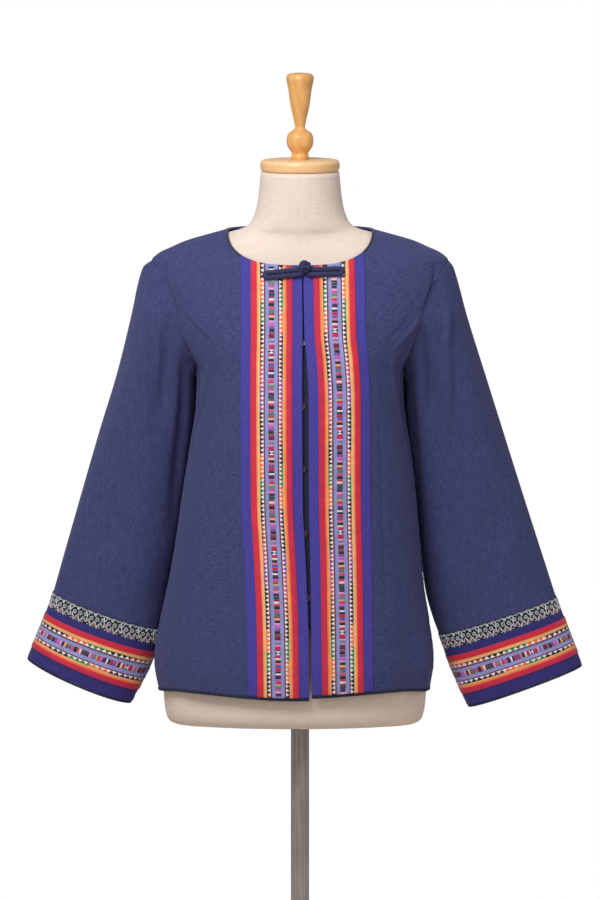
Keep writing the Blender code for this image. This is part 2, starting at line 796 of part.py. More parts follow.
def make_form(linen, wood):
    points = []
    for row in FORM_ROWS:
        for i in range(FORM_TURNS):
            points.append(section_point(FORM, 2 * math.pi * i / FORM_TURNS, row[0]))
    faces = [tuple(range(FORM_TURNS)), tuple(range(len(points) - FORM_TURNS, len(points)))]
    for i in range(len(FORM_ROWS) - 1):
        for j in range(FORM_TURNS):
            a, b = i * FORM_TURNS + j, i * FORM_TURNS + (j + 1) % FORM_TURNS
            faces.append((a, b, b + FORM_TURNS, a + FORM_TURNS))
    add_object("form_torso", mesh_of("form_torso", points, faces), linen)
    turned("form_cap", CAP_OUTLINE, 32, wood)
    turned("form_finial", FINIAL_OUTLINE, 16, wood)


def make_stand(steel):
    edge = 0.002
    base = (
        (BASE_RADIUS, 0.0),
        (BASE_RADIUS, BASE_THICK - edge),
        (BASE_RADIUS - edge, BASE_THICK),
        (HUB_RADIUS, BASE_THICK),
        (HUB_RADIUS, HUB_TOP - edge),
        (HUB_RADIUS - edge, HUB_TOP),
    )
    turned("stand_base", base, 48, steel)
    pole = ((POLE_RADIUS, HUB_TOP + GAP), (POLE_RADIUS, FORM_BOTTOM - GAP))
    turned("stand_pole", pole, 24, steel)


def centre_parts():
    """Moves all pieces sideways, so that the origin lies under the middle of the whole part."""
    solids = [made for made in bpy.data.objects if made.type == "MESH"]
    places = [vertex.co.x for made in solids for vertex in made.data.vertices]
    shift = Matrix.Translation((-(min(places) + max(places)) / 2, 0.0, 0.0))
    for made in bpy.data.objects:
        made.data.transform(shift)


def main():
    for old in list(bpy.data.objects):
        bpy.data.objects.remove(old)
    navy = material("navy_cloth", (0.060, 0.066, 0.165), 0.9)
    violet = material("violet_strip", (0.075, 0.065, 0.30), 0.85)
    stitched = material("embroidered_tape", (0.62, 0.16, 0.20), 0.8)
    trim = material("black_white_trim", (0.45, 0.45, 0.45), 0.8)
    dark = material("dark_binding", (0.020, 0.022, 0.040), 0.85)
    horn = material("brown_button", (0.12, 0.07, 0.04), 0.4)
    linen = material("linen", (0.80, 0.69, 0.58), 0.9)
    wood = material("turned_wood", (0.72, 0.47, 0.22), 0.5)
    steel = material("dull_steel", (0.32, 0.30, 0.29), 0.4, 0.8)
    make_body(navy, violet, stitched)
    make_bindings(dark)
    make_sleeves(navy, violet, stitched, trim, dark)
    make_placket(dark, horn)
    make_frog(dark)
    make_form(linen, wood)
    make_stand(steel)
    centre_parts()


main()
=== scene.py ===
import bpy
import math
import numpy as np
from mathutils import Matrix, Vector


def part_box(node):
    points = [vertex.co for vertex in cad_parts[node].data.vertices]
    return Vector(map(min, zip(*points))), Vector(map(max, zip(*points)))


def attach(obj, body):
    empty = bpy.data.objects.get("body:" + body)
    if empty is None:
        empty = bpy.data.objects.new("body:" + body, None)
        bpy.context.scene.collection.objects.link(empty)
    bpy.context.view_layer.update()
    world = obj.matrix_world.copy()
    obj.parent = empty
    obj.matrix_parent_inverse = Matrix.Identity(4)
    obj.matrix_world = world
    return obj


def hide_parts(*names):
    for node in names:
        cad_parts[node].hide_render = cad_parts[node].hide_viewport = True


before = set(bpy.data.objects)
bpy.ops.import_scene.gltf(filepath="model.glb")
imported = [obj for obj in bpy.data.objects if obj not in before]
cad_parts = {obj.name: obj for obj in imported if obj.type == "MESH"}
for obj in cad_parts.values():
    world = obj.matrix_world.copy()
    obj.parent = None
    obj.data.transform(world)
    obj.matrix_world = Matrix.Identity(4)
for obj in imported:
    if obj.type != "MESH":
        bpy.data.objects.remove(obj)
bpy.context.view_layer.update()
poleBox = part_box("stand_pole")
poleX = (poleBox[0][0] + poleBox[1][0]) / 2
bpy.ops.object.select_all(action="DESELECT")
print("frame loaded:", len(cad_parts), "nodes")


# Sizes of the jacket, in metres. Its solids have the same ones, so change both together
jacket = {
    "cloth": 0.002, "strip": 0.001, "tape": 0.001, "gap": 0.0003, "proud": 0.0008,
    "hem": 0.790, "hemBand": 0.004, "hemRise": 0.006, "hemLeftRise": 0.003, "hemStep": 0.115,
    "neckBand": 0.002, "neckGap": 0.0006, "neckHalf": 0.0955, "neckFront": 1.362,
    "neckCurve": (3.0, 2.17), "shoulder": 1.405, "tip": 1.363, "underarm": 1.2155,
    "armholeHalf": 0.054, "armLift": 0.0006, "armHinge": 0.006, "armBlend": 0.035,
    "cuffStrip": 0.0795, "cuffTape": (0.0165, 0.0690), "cuffTrim": 0.0195, "cuffBand": 0.003,
    "cuffSag": {-1: 0.004, 1: 0.0},
    "bandWidth": 0.081, "bandMargin": 0.013,
    "dartPlace": 0.13, "dartSpan": (0.868, 1.192), "dartDepth": 0.0018,
}
neckEdge = jacket["neckBand"] + jacket["neckGap"]

# height, half width, depth of the front, depth of the back, squareness
bodyRows = (
    (0.789, 0.1795, 0.128, 0.113, 2.30), (0.830, 0.1850, 0.131, 0.116, 2.30),
    (0.880, 0.1790, 0.129, 0.114, 2.30), (0.940, 0.1690, 0.126, 0.107, 2.30),
    (1.000, 0.1615, 0.124, 0.101, 2.30), (1.060, 0.1545, 0.123, 0.099, 2.30),
    (1.120, 0.1460, 0.124, 0.102, 2.30), (1.170, 0.1385, 0.122, 0.106, 2.35),
    (1.215, 0.1370, 0.116, 0.108, 2.45), (1.250, 0.1530, 0.108, 0.109, 2.50),
    (1.285, 0.1780, 0.097, 0.107, 2.50), (1.320, 0.1930, 0.084, 0.102, 2.45),
    (1.345, 0.1985, 0.073, 0.095, 2.35), (1.363, 0.1970, 0.064, 0.088, 2.25),
    (1.373, 0.1870, 0.057, 0.083, 2.15), (1.381, 0.1700, 0.051, 0.079, 2.05),
    (1.389, 0.1520, 0.045, 0.074, 2.00), (1.397, 0.1250, 0.038, 0.069, 2.00),
    (1.405, 0.0955, 0.028, 0.063, 2.00),
)
# height, X of the middle of the form and of the jacket on it
swayRows = (
    (0.740, -0.0070), (0.830, -0.0066), (0.918, -0.0058), (0.977, -0.0034), (1.020, -0.0020),
    (1.120, 0.0), (1.620, 0.0),
)
# height, X of the right front's edge, X of the left front's edge
openingRows = (
    (0.790, 0.0122, 0.0160), (0.886, 0.0110, 0.0148), (0.975, 0.0075, 0.0135),
    (1.055, 0.0037, 0.0117), (1.190, 0.0030, 0.0112), (1.235, 0.0030, 0.0092),
    (1.273, 0.0034, 0.0058), (1.360, 0.0028, 0.0042),
)
# X and Z of the outer edge, X and Z of the inner edge, Y of the middle, half depth, squareness
sleeveRows = {
    -1: (
        (0.1970, 1.3630, 0.1370, 1.2155, 0.000, 0.054, 2.0),
        (0.2060, 1.3560, 0.1386, 1.2095, 0.004, 0.056, 2.0),
        (0.2130, 1.3400, 0.1390, 1.2010, 0.009, 0.058, 2.0),
        (0.2240, 1.2900, 0.1395, 1.1800, 0.017, 0.059, 2.1),
        (0.2430, 1.2130, 0.1425, 1.1400, 0.025, 0.056, 2.2),
        (0.2670, 1.1340, 0.1505, 1.0830, 0.030, 0.052, 2.2),
        (0.2920, 1.0480, 0.1620, 1.0020, 0.032, 0.049, 2.2),
        (0.3155, 0.9660, 0.1780, 0.9180, 0.032, 0.046, 2.2),
        (0.3370, 0.8930, 0.1925, 0.8420, 0.030, 0.043, 2.2),
        (0.3640, 0.8265, 0.2265, 0.7680, 0.026, 0.040, 2.2),
    ),
    1: (
        (0.1970, 1.3630, 0.1370, 1.2155, 0.000, 0.054, 2.0),
        (0.2020, 1.3560, 0.1386, 1.2095, 0.004, 0.056, 2.0),
        (0.2080, 1.3400, 0.1390, 1.2010, 0.009, 0.058, 2.0),
        (0.2215, 1.2900, 0.1395, 1.1800, 0.017, 0.059, 2.1),
        (0.2455, 1.2130, 0.1425, 1.1400, 0.025, 0.056, 2.2),
        (0.2703, 1.1340, 0.1490, 1.0830, 0.030, 0.052, 2.2),
        (0.2975, 1.0480, 0.1575, 1.0020, 0.032, 0.049, 2.2),
        (0.3239, 0.9660, 0.1690, 0.9180, 0.032, 0.046, 2.2),
        (0.3478, 0.8930, 0.1925, 0.8420, 0.030, 0.043, 2.2),
        (0.3765, 0.8175, 0.2255, 0.7625, 0.026, 0.040, 2.2),
    ),
}
# Metres of cloth in one radian of a turn, round the body and round a sleeve
roundBody, roundSleeve = 0.15, 0.055

# Soft forms shared with the solids. turn in degrees, height or length, half sizes, depth
bodyFolds = (
    (-58, 0.83, 16, 0.10, -0.0035), (-84, 0.84, 13, 0.12, 0.0030),
    (52, 0.84, 12, 0.09, -0.0030), (66, 0.82, 12, 0.08, 0.0035),
    (-61, 1.24, 15, 0.07, 0.0032), (61, 1.24, 15, 0.07, 0.0032),
    (122, 0.85, 15, 0.16, -0.0035), (-126, 0.87, 15, 0.17, -0.0035),
    (180, 0.90, 18, 0.20, -0.0030), (150, 0.84, 12, 0.12, 0.0025),
    (-152, 0.84, 12, 0.12, 0.0025),
)
sleeveFolds = (
    (52, 0.13, 26, 0.13, 0.0050), (104, 0.10, 26, 0.09, -0.0040),
    (70, 0.30, 24, 0.05, -0.0030), (118, 0.34, 28, 0.06, 0.0030),
    (40, 0.38, 22, 0.06, -0.0025), (250, 0.28, 26, 0.06, -0.0030),
    (300, 0.14, 24, 0.12, 0.0040), (262, 0.37, 24, 0.05, 0.0025),
)
# Creases of the cloth alone: turn and height at each end, half width, depth
bodyCreases = (
    (-61, 1.358, -56, 1.296, 0.009, -0.0050), (61, 1.358, 56, 1.296, 0.009, -0.0046),
    (-72, 1.240, -78, 1.110, 0.013, -0.0068), (72, 1.240, 78, 1.110, 0.013, -0.0068),
    (-50, 1.240, -71, 1.150, 0.009, 0.0036), (52, 1.236, 70, 1.150, 0.009, 0.0034),
    (-56, 1.316, -45, 1.268, 0.010, -0.0018), (-50, 1.300, -40, 1.262, 0.009, 0.0012),
    (-62, 1.285, -56, 1.222, 0.011, 0.0016), (57, 1.302, 49, 1.252, 0.010, 0.0026),
    (49, 1.300, 42, 1.262, 0.009, -0.0014), (62, 1.285, 56, 1.222, 0.011, -0.0018),
    (51, 0.862, 64, 0.806, 0.011, -0.0016), (44, 0.850, 54, 0.800, 0.010, 0.0009),
    (-70, 0.880, -62, 0.800, 0.013, 0.0012), (-48, 0.845, -44, 0.798, 0.010, -0.0009),
    (-82, 1.140, -66, 1.100, 0.012, -0.0010), (80, 1.150, 64, 1.118, 0.012, -0.0010),
    (78, 1.030, 60, 1.012, 0.014, 0.0008), (-80, 1.010, -62, 1.000, 0.014, 0.0008),
    (128, 1.300, 140, 1.220, 0.012, -0.0014), (-126, 1.304, -142, 1.216, 0.012, -0.0016),
    (118, 1.280, 126, 1.190, 0.013, 0.0012), (-117, 1.276, -127, 1.184, 0.012, 0.0013),
    (150, 1.070, 178, 1.040, 0.014, -0.0011), (-148, 1.040, -176, 1.022, 0.013, -0.0012),
    (162, 1.350, 198, 1.350, 0.010, 0.0009), (104, 1.020, 126, 1.000, 0.013, -0.0010),
    (-102, 0.990, -124, 0.975, 0.014, -0.0009), (140, 0.860, 146, 0.800, 0.013, 0.0012),
    (-168, 0.850, -172, 0.796, 0.014, 0.0011), (96, 0.900, 101, 0.800, 0.014, -0.0010),
)
# The same on the sleeves: the last number is the side it lies on, or 0 for both
sleeveCreases = (
    (44, 0.014, 66, 0.056, 0.010, 0.0046, 0), (62, 0.045, 92, 0.150, 0.011, 0.0046, 0),
    (90, 0.004, 106, 0.110, 0.012, -0.0072, 0), (194, 0.020, 197, 0.270, 0.020, 0.0056, 0),
    (136, 0.040, 150, 0.240, 0.016, -0.0072, 0), (188, 0.002, 192, 0.070, 0.014, 0.0030, -1),
    (188, 0.002, 192, 0.080, 0.014, 0.0042, 1),
    (194, 0.300, 197, 0.440, 0.016, 0.0030, 1), (194, 0.340, 197, 0.440, 0.014, 0.0014, -1),
    (60, 0.205, 96, 0.250, 0.011, -0.0014, -1), (52, 0.235, 84, 0.272, 0.011, 0.0012, -1),
    (84, 0.300, 56, 0.335, 0.012, -0.0012, -1), (48, 0.165, 78, 0.205, 0.012, -0.0009, 1),
    (104, 0.225, 132, 0.270, 0.012, 0.0012, 1), (70, 0.330, 100, 0.362, 0.012, -0.0010, 1),
    (128, 0.060, 152, 0.130, 0.011, -0.0015, 0), (112, 0.020, 132, 0.090, 0.011, 0.0012, 0),
    (150, 0.200, 172, 0.240, 0.012, -0.0012, 0), (210, 0.060, 232, 0.130, 0.012, -0.0014, 0),
    (236, 0.190, 268, 0.230, 0.013, -0.0012, 0), (286, 0.250, 312, 0.300, 0.013, 0.0011, 0),
    (246, 0.300, 276, 0.340, 0.013, -0.0011, 0), (30, 0.285, 46, 0.330, 0.014, 0.0010, 0),
    (330, 0.060, 340, 0.190, 0.015, 0.0010, 0), (20, 0.110, 26, 0.240, 0.015, -0.0008, 0),
)

# Reading the tables and the surfaces


def smoothTable(rows):
    rows = np.array(rows, float)
    places, columns = rows[:, 0], rows[:, 1:]
    rises = np.diff(columns, axis=0) / np.diff(places)[:, None]
    before, after = rises[:-1], rises[1:]
    product = before * after
    total = np.where(product > 0, before + after, 1.0)
    inner = np.where(product > 0, 2 * product / total, 0.0)
    return places, columns, np.vstack([rises[:1], inner, rises[-1:]])


def readTable(table, place):
    places, columns, slopes = table
    place = np.asarray(place, float)
    i = np.clip(np.searchsorted(places[1:], place), 0, len(places) - 2)
    span = places[i + 1] - places[i]
    share = ((place - places[i]) / span)[..., None]
    start, end = columns[i], columns[i + 1]
    leave, arrive = slopes[i] * span[..., None], slopes[i + 1] * span[..., None]
    square, cube = share**2, share**3
    inside = start * (2 * cube - 3 * square + 1) + end * (3 * square - 2 * cube)
    inside = inside + leave * (cube - 2 * square + share) + arrive * (cube - square)
    outside = np.where(share < 0, start + leave * share, end + arrive * (share - 1))
    values = np.where((share < 0) | (share > 1), outside, inside)
    return np.moveaxis(values, -1, 0)


def withLengths(rows):
    measured, length, last = [], 0.0, None
    for row in rows:
        middle = Vector(((row[0] + row[2]) / 2, (row[1] + row[3]) / 2))
        if last is not None:
            length += (middle - last).length
        measured.append((length,) + row)
        last = middle
    return measured


bodyTable = smoothTable(bodyRows)
openingTable = smoothTable(openingRows)
swayTable = smoothTable(swayRows)
sleeveTables = {side: smoothTable(withLengths(rows)) for side, rows in sleeveRows.items()}
sleeveLengths = {side: float(table[0][-1]) for side, table in sleeveTables.items()}
cuffEnds = {side: length - jacket["cuffBand"] for side, length in sleeveLengths.items()}


def bump(distance):
    near = np.clip(np.abs(distance), 0, 1)
    return (1 + np.cos(math.pi * near)) / 2


def softLine(x, y, ends, halfWidth):
    # 1 along a line between two points, falling off at its sides and towards its ends
    ax, ay, bx, by = ends
    dx, dy = bx - ax, by - ay
    long = dx * dx + dy * dy
    share = ((x - ax) * dx + (y - ay) * dy) / long
    away = np.hypot(x - ax - share * dx, y - ay - share * dy)
    return bump(away / halfWidth) * bump((share - 0.5) * 1.35) ** 0.6


def ovalShares(turn, square):
    sideways, forward = np.sin(turn), np.cos(turn)
    reach = (np.abs(sideways) ** square + np.abs(forward) ** square) ** (-1 / square)
    return sideways * reach, forward * reach


def sectionPoint(table, turn, height):
    turn, height = np.broadcast_arrays(np.asarray(turn, float), np.asarray(height, float))
    halfWidth, front, back, square = readTable(table, height)
    sideways, forward = ovalShares(turn, square)
    depth = np.where(forward > 0, front, back)
    middle = readTable(swayTable, height)[0]
    return np.stack([middle + halfWidth * sideways, -depth * forward, height], axis=-1)


def facingOf(pointAt, first, second, step=1e-4):
    across = pointAt(first + step, second) - pointAt(first - step, second)
    along = pointAt(first, second + step) - pointAt(first, second - step)
    normal = np.cross(across, along)
    return normal / np.linalg.norm(normal, axis=-1, keepdims=True)


def turnAtX(x, height):
    halfWidth, _, _, square = readTable(bodyTable, height)
    away = x - readTable(swayTable, height)[0]
    share = np.minimum(np.abs(away) / halfWidth, 1.0)
    return np.copysign(np.arctan2(share, (1 - share**square) ** (1 / square)), away)


def armholeTurn(height, depthColumn):
    values = readTable(bodyTable, height)
    depth, square = values[depthColumn], values[3]
    middle = (jacket["tip"] + jacket["underarm"]) / 2
    away = (height - middle) / (jacket["tip"] - middle)
    forward = jacket["armholeHalf"] * np.sqrt(np.clip(1 - away**2, 0, 1)) / depth
    sideways = (1 - forward**square) ** (1 / square)
    straight = math.pi / 2 - jacket["gap"] / 2 / depth
    return np.where(np.abs(away) >= 1, straight, np.arctan2(sideways, forward))


def neckline(x, grow):
    share = np.minimum(np.abs(x) / (jacket["neckHalf"] + grow), 1.0)
    first, second = jacket["neckCurve"]
    low, high = jacket["neckFront"] - grow, jacket["shoulder"] - grow / 4
    return low + (high - low) * (1 - (1 - share**first) ** (1 / second))


def neckHeight(turn, grow):
    turn = np.asarray(turn, float)
    facing = np.cos(turn)
    low = np.full(turn.shape, jacket["neckFront"] - 2 * jacket["neckBand"])
    high = np.full(turn.shape, jacket["shoulder"] - grow / 4)
    for _ in range(36):
        middle = (low + high) / 2
        above = neckline(sectionPoint(bodyTable, turn, middle)[..., 0], grow) > middle
        low, high = np.where(above, middle, low), np.where(above, high, middle)
    behind = jacket["shoulder"] - grow * (0.25 + 0.75 * facing**2)
    return np.where(facing <= 0, behind, (low + high) / 2)


def hemHeight(turn):
    facing = np.cos(turn)
    lift = jacket["hemRise"] * np.sin(2 * turn) ** 2
    lift = lift + np.where(turn > jacket["hemStep"], jacket["hemLeftRise"] * facing**2, 0.0)
    return jacket["hem"] + np.where(facing <= 0, 0.0, lift)


def edgeX(side, height, offset):
    rightEdge, leftEdge = readTable(openingTable, height)
    return rightEdge - offset if side < 0 else leftEdge + offset


def bandTurn(side, height):
    return np.abs(turnAtX(edgeX(side, height, jacket["bandWidth"]), height))


def unevenWave(place, pitch, seed):
    # An irregular run of small waves, between -1 and 1
    total = np.zeros_like(place)
    for i, share in enumerate((1.0, 0.61, 1.37, 2.1)):
        total = total + np.sin(place / pitch * 2 * math.pi * share + seed * (1.7 + i))
    return total / 4


def bodyRelief(turn, height):
    degrees = np.degrees(turn)
    depth = np.zeros(np.broadcast(turn, height).shape)
    for place, level, halfTurn, halfHeight, size in bodyFolds:
        away = (degrees - place + 180) % 360 - 180
        depth = depth + size * bump(away / halfTurn) * bump((height - level) / halfHeight)
    perDegree = math.radians(roundBody)  # metres of cloth in one degree
    for turnA, heightA, turnB, heightB, halfWidth, size in bodyCreases:
        away = (degrees - turnA + 180) % 360 - 180
        ends = (0.0, heightA, (turnB - turnA) * perDegree, heightB)
        depth = depth + size * softLine(away * perDegree, height, ends, halfWidth)
    # Long darts, one on each front, and the small puckers beside them and the side seams
    low, high = jacket["dartSpan"]
    halfSpan = (high - low) / 2
    size = jacket["dartDepth"] * bump((height - low - halfSpan) / halfSpan) ** 0.5
    signed = (turn + math.pi) % (2 * math.pi) - math.pi
    for side in (-1, 1):
        band = bandTurn(side, height)
        line = side * (band + jacket["dartPlace"] * (math.pi / 2 - band))
        away = (signed - line) * roundBody
        depth = depth - size * (0.45 * bump(away / 0.012) + 0.55 * bump(away / 0.0035))
        ripple = 0.00035 * unevenWave(height, 0.019, 2.0 + side) * (size > 0)
        depth = depth + ripple * np.exp(-np.abs(away) / 0.008)
        seam = (signed - side * math.pi / 2) * roundBody
        ripple = 0.0005 * unevenWave(height, 0.023, 5.0 + side)
        depth = depth + ripple * np.exp(-np.abs(seam) / 0.009)
    return depth


def bodyFacing(turn, height):
    # The way that the cloth with its folds faces
    return facingOf(lambda a, b: bodyAt(a, b)[0], turn, height, 3e-4)


def bodyAt(turn, height):
    turn, height = np.broadcast_arrays(np.asarray(turn, float), np.asarray(height, float))
    outward = facingOf(lambda a, b: sectionPoint(bodyTable, a, b), turn, height)
    point = sectionPoint(bodyTable, turn, height)
    return point + outward * bodyRelief(turn, height)[..., None], outward


def armholeAt(turn, shrink):
    middle = (jacket["tip"] + jacket["underarm"]) / 2
    height = middle + (jacket["tip"] - middle - shrink) * np.cos(turn)
    forward = (jacket["armholeHalf"] - shrink) * np.sin(turn)
    _, front, back, square = readTable(bodyTable, height)
    share = forward / np.where(forward > 0, front, back)
    sideways = (1 - np.abs(share) ** square) ** (1 / square)
    return bodyAt(np.arctan2(sideways, share), height)


def sleeveSection(turn, length, side):
    outerX, outerZ, innerX, innerZ, shift, depth, square = readTable(sleeveTables[side], length)
    forward, upward = ovalShares(turn, square)
    x = (outerX + innerX) / 2 + (outerX - innerX) / 2 * upward
    z = (outerZ + innerZ) / 2 + (outerZ - innerZ) / 2 * upward
    z = z - jacket["cuffSag"][side] * (forward * length / sleeveLengths[side]) ** 2
    return np.stack([x, shift - depth * forward, z], axis=-1)


def sleevePoint(turn, length, side):
    # The outer face as on the left: it starts on the armhole and takes its own shape below
    point = sleeveSection(turn, length, side)
    share = (np.clip(length, 0, jacket["armBlend"]) / jacket["armBlend"])[..., None]
    start = armholeAt(turn, jacket["gap"])[0] + np.array([jacket["armLift"], 0.0, 0.0])
    push = (start - sleeveSection(turn, np.zeros_like(length), side)) * (1 - share**2 * (3 - 2 * share))
    return point + push


def sleeveRelief(turn, length, side):
    degrees = np.degrees(turn)
    depth = np.zeros(np.shape(turn))
    for place, level, halfTurn, halfLength, size in sleeveFolds:
        away = (degrees - place + 180) % 360 - 180
        depth = depth + size * bump(away / halfTurn) * bump((length - level) / halfLength)
    perDegree = math.radians(roundSleeve)
    for turnA, lengthA, turnB, lengthB, halfWidth, size, only in sleeveCreases:
        if only in (0, side):
            shift = 0 if only else 6 * side
            away = (degrees - turnA - shift + 180) % 360 - 180
            ends = (0.0, lengthA + 0.004 * side, (turnB - turnA) * perDegree, lengthB)
            depth = depth + size * softLine(away * perDegree, length, ends, halfWidth)
    # The eased head of the sleeve, and small waves along the seam under the arm
    eased = np.exp(-(((length - 0.010) / 0.006) ** 2))
    depth = depth + eased * (0.0004 + 0.0004 * unevenWave(degrees, 17.0, 1.0 + side))
    seam = (degrees % 360 - 180) * perDegree
    return depth + 0.0005 * unevenWave(length, 0.021, 4.0) * np.exp(-np.abs(seam) / 0.008)


def sleeveAt(turn, length, side):
    turn, length = np.broadcast_arrays(np.asarray(turn, float), np.asarray(length, float))
    outward = facingOf(lambda a, b: sleevePoint(a, b, side), turn, np.maximum(length, 1e-4))
    facing = armholeAt(turn, jacket["gap"])[1]
    along = np.clip((outward * facing).sum(-1), 0, None)
    share = (along * np.clip(1 - length / jacket["armHinge"], 0, 1))[..., None]
    outward = outward * (1 - share) + facing * share
    outward = outward / np.linalg.norm(outward, axis=-1, keepdims=True)
    fade = np.clip(length / 0.009, 0, 1) ** 1.5
    relief = sleeveRelief(turn, length, side) * fade
    point = sleevePoint(turn, length, side) + outward * relief[..., None]
    flip = np.array([side, 1.0, 1.0])
    return point * flip, outward * flip


# Panels as grids of turn and height


def frontGrid(side, levels, offsets, shares):
    levels, offsets = np.asarray(levels)[:, None], np.asarray(offsets)[None, :]
    bandTurns, bandHeights = bandPlace(side, levels, offsets)
    shares = np.asarray(shares)
    low, high = columnSpan(side, shares)
    first, last = levelSpan()
    heights = low + (high - low) * (levels - first) / (last - first)
    band = bandTurn(side, heights)
    seam = armholeTurn(np.broadcast_to(levels, heights.shape), 1)
    turns = side * (band + shares * (seam - band))
    return np.hstack([bandTurns, turns]), np.hstack([bandHeights, heights])


def levelSpan():
    return jacket["hem"] + jacket["hemBand"] + jacket["gap"], jacket["shoulder"] - neckEdge / 4


def bandPlace(side, level, offset):
    level, offset = np.broadcast_arrays(level, offset)
    rough = edgeX(side, level, offset)
    low = hemHeight(turnAtX(rough, np.full(rough.shape, jacket["hem"])))
    low = low + jacket["hemBand"] + jacket["gap"]
    first, last = levelSpan()
    height = low + (neckline(rough, neckEdge) - low) * (level - first) / (last - first)
    return turnAtX(edgeX(side, height, offset), height), height


def columnSpan(side, shares):
    def seamTurn(height):
        band = bandTurn(side, height)
        return side * (band + shares * (math.pi / 2 - band))
    low = hemHeight(seamTurn(np.full(shares.shape, jacket["hem"])))
    high = np.full(shares.shape, jacket["shoulder"])
    for _ in range(12):
        high = neckHeight(seamTurn(high), neckEdge)
    return low + jacket["hemBand"] + jacket["gap"], high


def panelLevels(lowCells, armCells, neckCells):
    first, last = levelSpan()
    under, tip = jacket["underarm"], jacket["tip"]
    middle = (under + tip) / 2
    low = first + (under - first) * np.arange(lowCells) / lowCells
    shares = np.arange(armCells + 1) / armCells
    arm = middle - (tip - middle) * (0.7 * np.cos(math.pi * shares) + 0.3 * (1 - 2 * shares))
    neck = tip + (last - tip) * np.arange(1, neckCells + 1) / neckCells
    return np.concatenate([low, arm, neck])


def backGrid(levels, shares):
    levels, shares = np.asarray(levels)[:, None], np.asarray(shares)[None, :]
    seam = math.pi - armholeTurn(levels, 2)
    turns = seam + (2 * math.pi - 2 * seam) * shares
    high = neckHeight(math.pi * (0.5 + shares), neckEdge)
    first, last = levelSpan()
    return turns, first + (high - first) * (levels - first) / (last - first)


# Making meshes


def rollOff(distance, width, depth):
    # How far an edge rolls down, at this distance from it
    near = 1 - np.clip(distance / width, 0, 1)
    return -depth * (1 - np.sqrt(np.clip(1 - near**2, 0, 1)))


def addPiece(piece, nodes=()):
    # Sizes count X from the pole: the frame has its origin under the middle of the whole part
    piece.data.transform(Matrix.Translation((poleX, 0.0, 0.0)))
    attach(piece, "root")
    if nodes:
        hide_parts(*nodes)
    return piece


def finishMesh(name, points, faces, uv, tints, material, nodes, normals=None):
    mesh = bpy.data.meshes.new(name)
    mesh.from_pydata(points.tolist(), [], faces.tolist() if hasattr(faces, "tolist") else faces)
    if uv is not None:
        layer = mesh.uv_layers.new(name="cloth")
        layer.data.foreach_set("uv", np.asarray(uv, np.float32).ravel())
    if tints is not None:
        dye = mesh.color_attributes.new("dye", "FLOAT_COLOR", "CORNER")
        dye.data.foreach_set("color", np.asarray(tints, np.float32).ravel())
    mesh.materials.append(material)
    mesh.polygons.foreach_set("use_smooth", [True] * len(mesh.polygons))
    if normals is not None:
        mesh.normals_split_custom_set_from_vertices(normals.tolist())
    piece = bpy.data.objects.new(name, mesh)
    bpy.context.scene.collection.objects.link(piece)
    return addPiece(piece, nodes)


def shell(name, surface, high, low, material, slot, nodes, ring=False, tint=None, place=None, facing=None):
    # A closed thin wall between two distances from a surface's grid
    point, outward = surface
    rows, columns = point.shape[:2]
    high, low = np.broadcast_to(high, (rows, columns)), np.broadcast_to(low, (rows, columns))
    top, under = point + outward * high[..., None], point + outward * low[..., None]
    vertices = np.concatenate([top.reshape(-1, 3), under.reshape(-1, 3)])
    number = np.arange(rows * columns).reshape(rows, columns)
    closed = top
    if ring:
        number = np.concatenate([number, number[:, :1]], 1)
        closed = np.concatenate([top, top[:, :1]], 1)
    wide = number.shape[1]
    spotNumber = np.arange(rows * wide).reshape(rows, wide)
    if place is None:
        u = np.concatenate([np.zeros((rows, 1)), np.cumsum(stepsOf(closed, 1), 1)], 1)
        v = np.concatenate([np.zeros((1, wide)), np.cumsum(stepsOf(closed, 0), 0)], 0)
        place = (u, v)
    flat = np.stack(place, -1).reshape(-1, 2)
    i, j = (rows - 1) // 2, (columns - 1) // 2
    across, along = top[i, j + 1] - top[i, j], top[i + 1, j] - top[i, j]
    flip = np.dot(np.cross(across, along), outward[i, j]) < 0
    size = rows * columns

    def corners(grid, extra):
        a, b, c, d = grid[:-1, :-1], grid[:-1, 1:], grid[1:, 1:], grid[1:, :-1]
        quads = np.stack([a, b, c, d], -1).reshape(-1, 4)
        parts = [quads, quads[:, ::-1] + extra]
        first, last = grid[0], grid[-1]
        parts.append(np.stack([first[1:], first[:-1], first[:-1] + extra, first[1:] + extra], -1))
        parts.append(np.stack([last[:-1], last[1:], last[1:] + extra, last[:-1] + extra], -1))
        if not ring:
            first, last = grid[:, 0], grid[:, -1]
            parts.append(np.stack([first[:-1], first[1:], first[1:] + extra, first[:-1] + extra], -1))
            parts.append(np.stack([last[1:], last[:-1], last[:-1] + extra, last[1:] + extra], -1))
        return np.concatenate(parts)

    faces, spots = corners(number, size), corners(spotNumber, 0)
    if flip:
        faces, spots = faces[:, ::-1], spots[:, ::-1]
    tints = None
    if tint is not None:  # one colour for each cell of the grid
        cells = np.broadcast_to(tint, (rows - 1, wide - 1, 4)).reshape(-1, 4)
        rims = np.broadcast_to(cells[0], (len(faces) - 2 * len(cells), 4))
        tints = np.repeat(np.concatenate([cells, cells, rims]), 4, axis=0)
    if facing is not None:
        facing = np.concatenate([facing.reshape(-1, 3), -facing.reshape(-1, 3)])
    return finishMesh(name, vertices, faces, flat[spots.ravel()], tints, material, nodes, facing)


def stepsOf(grid, axis):
    return np.linalg.norm(np.diff(grid, axis=axis), axis=2)


def newPile():
    return {"points": [], "faces": [], "tints": [], "uv": [], "size": 0}


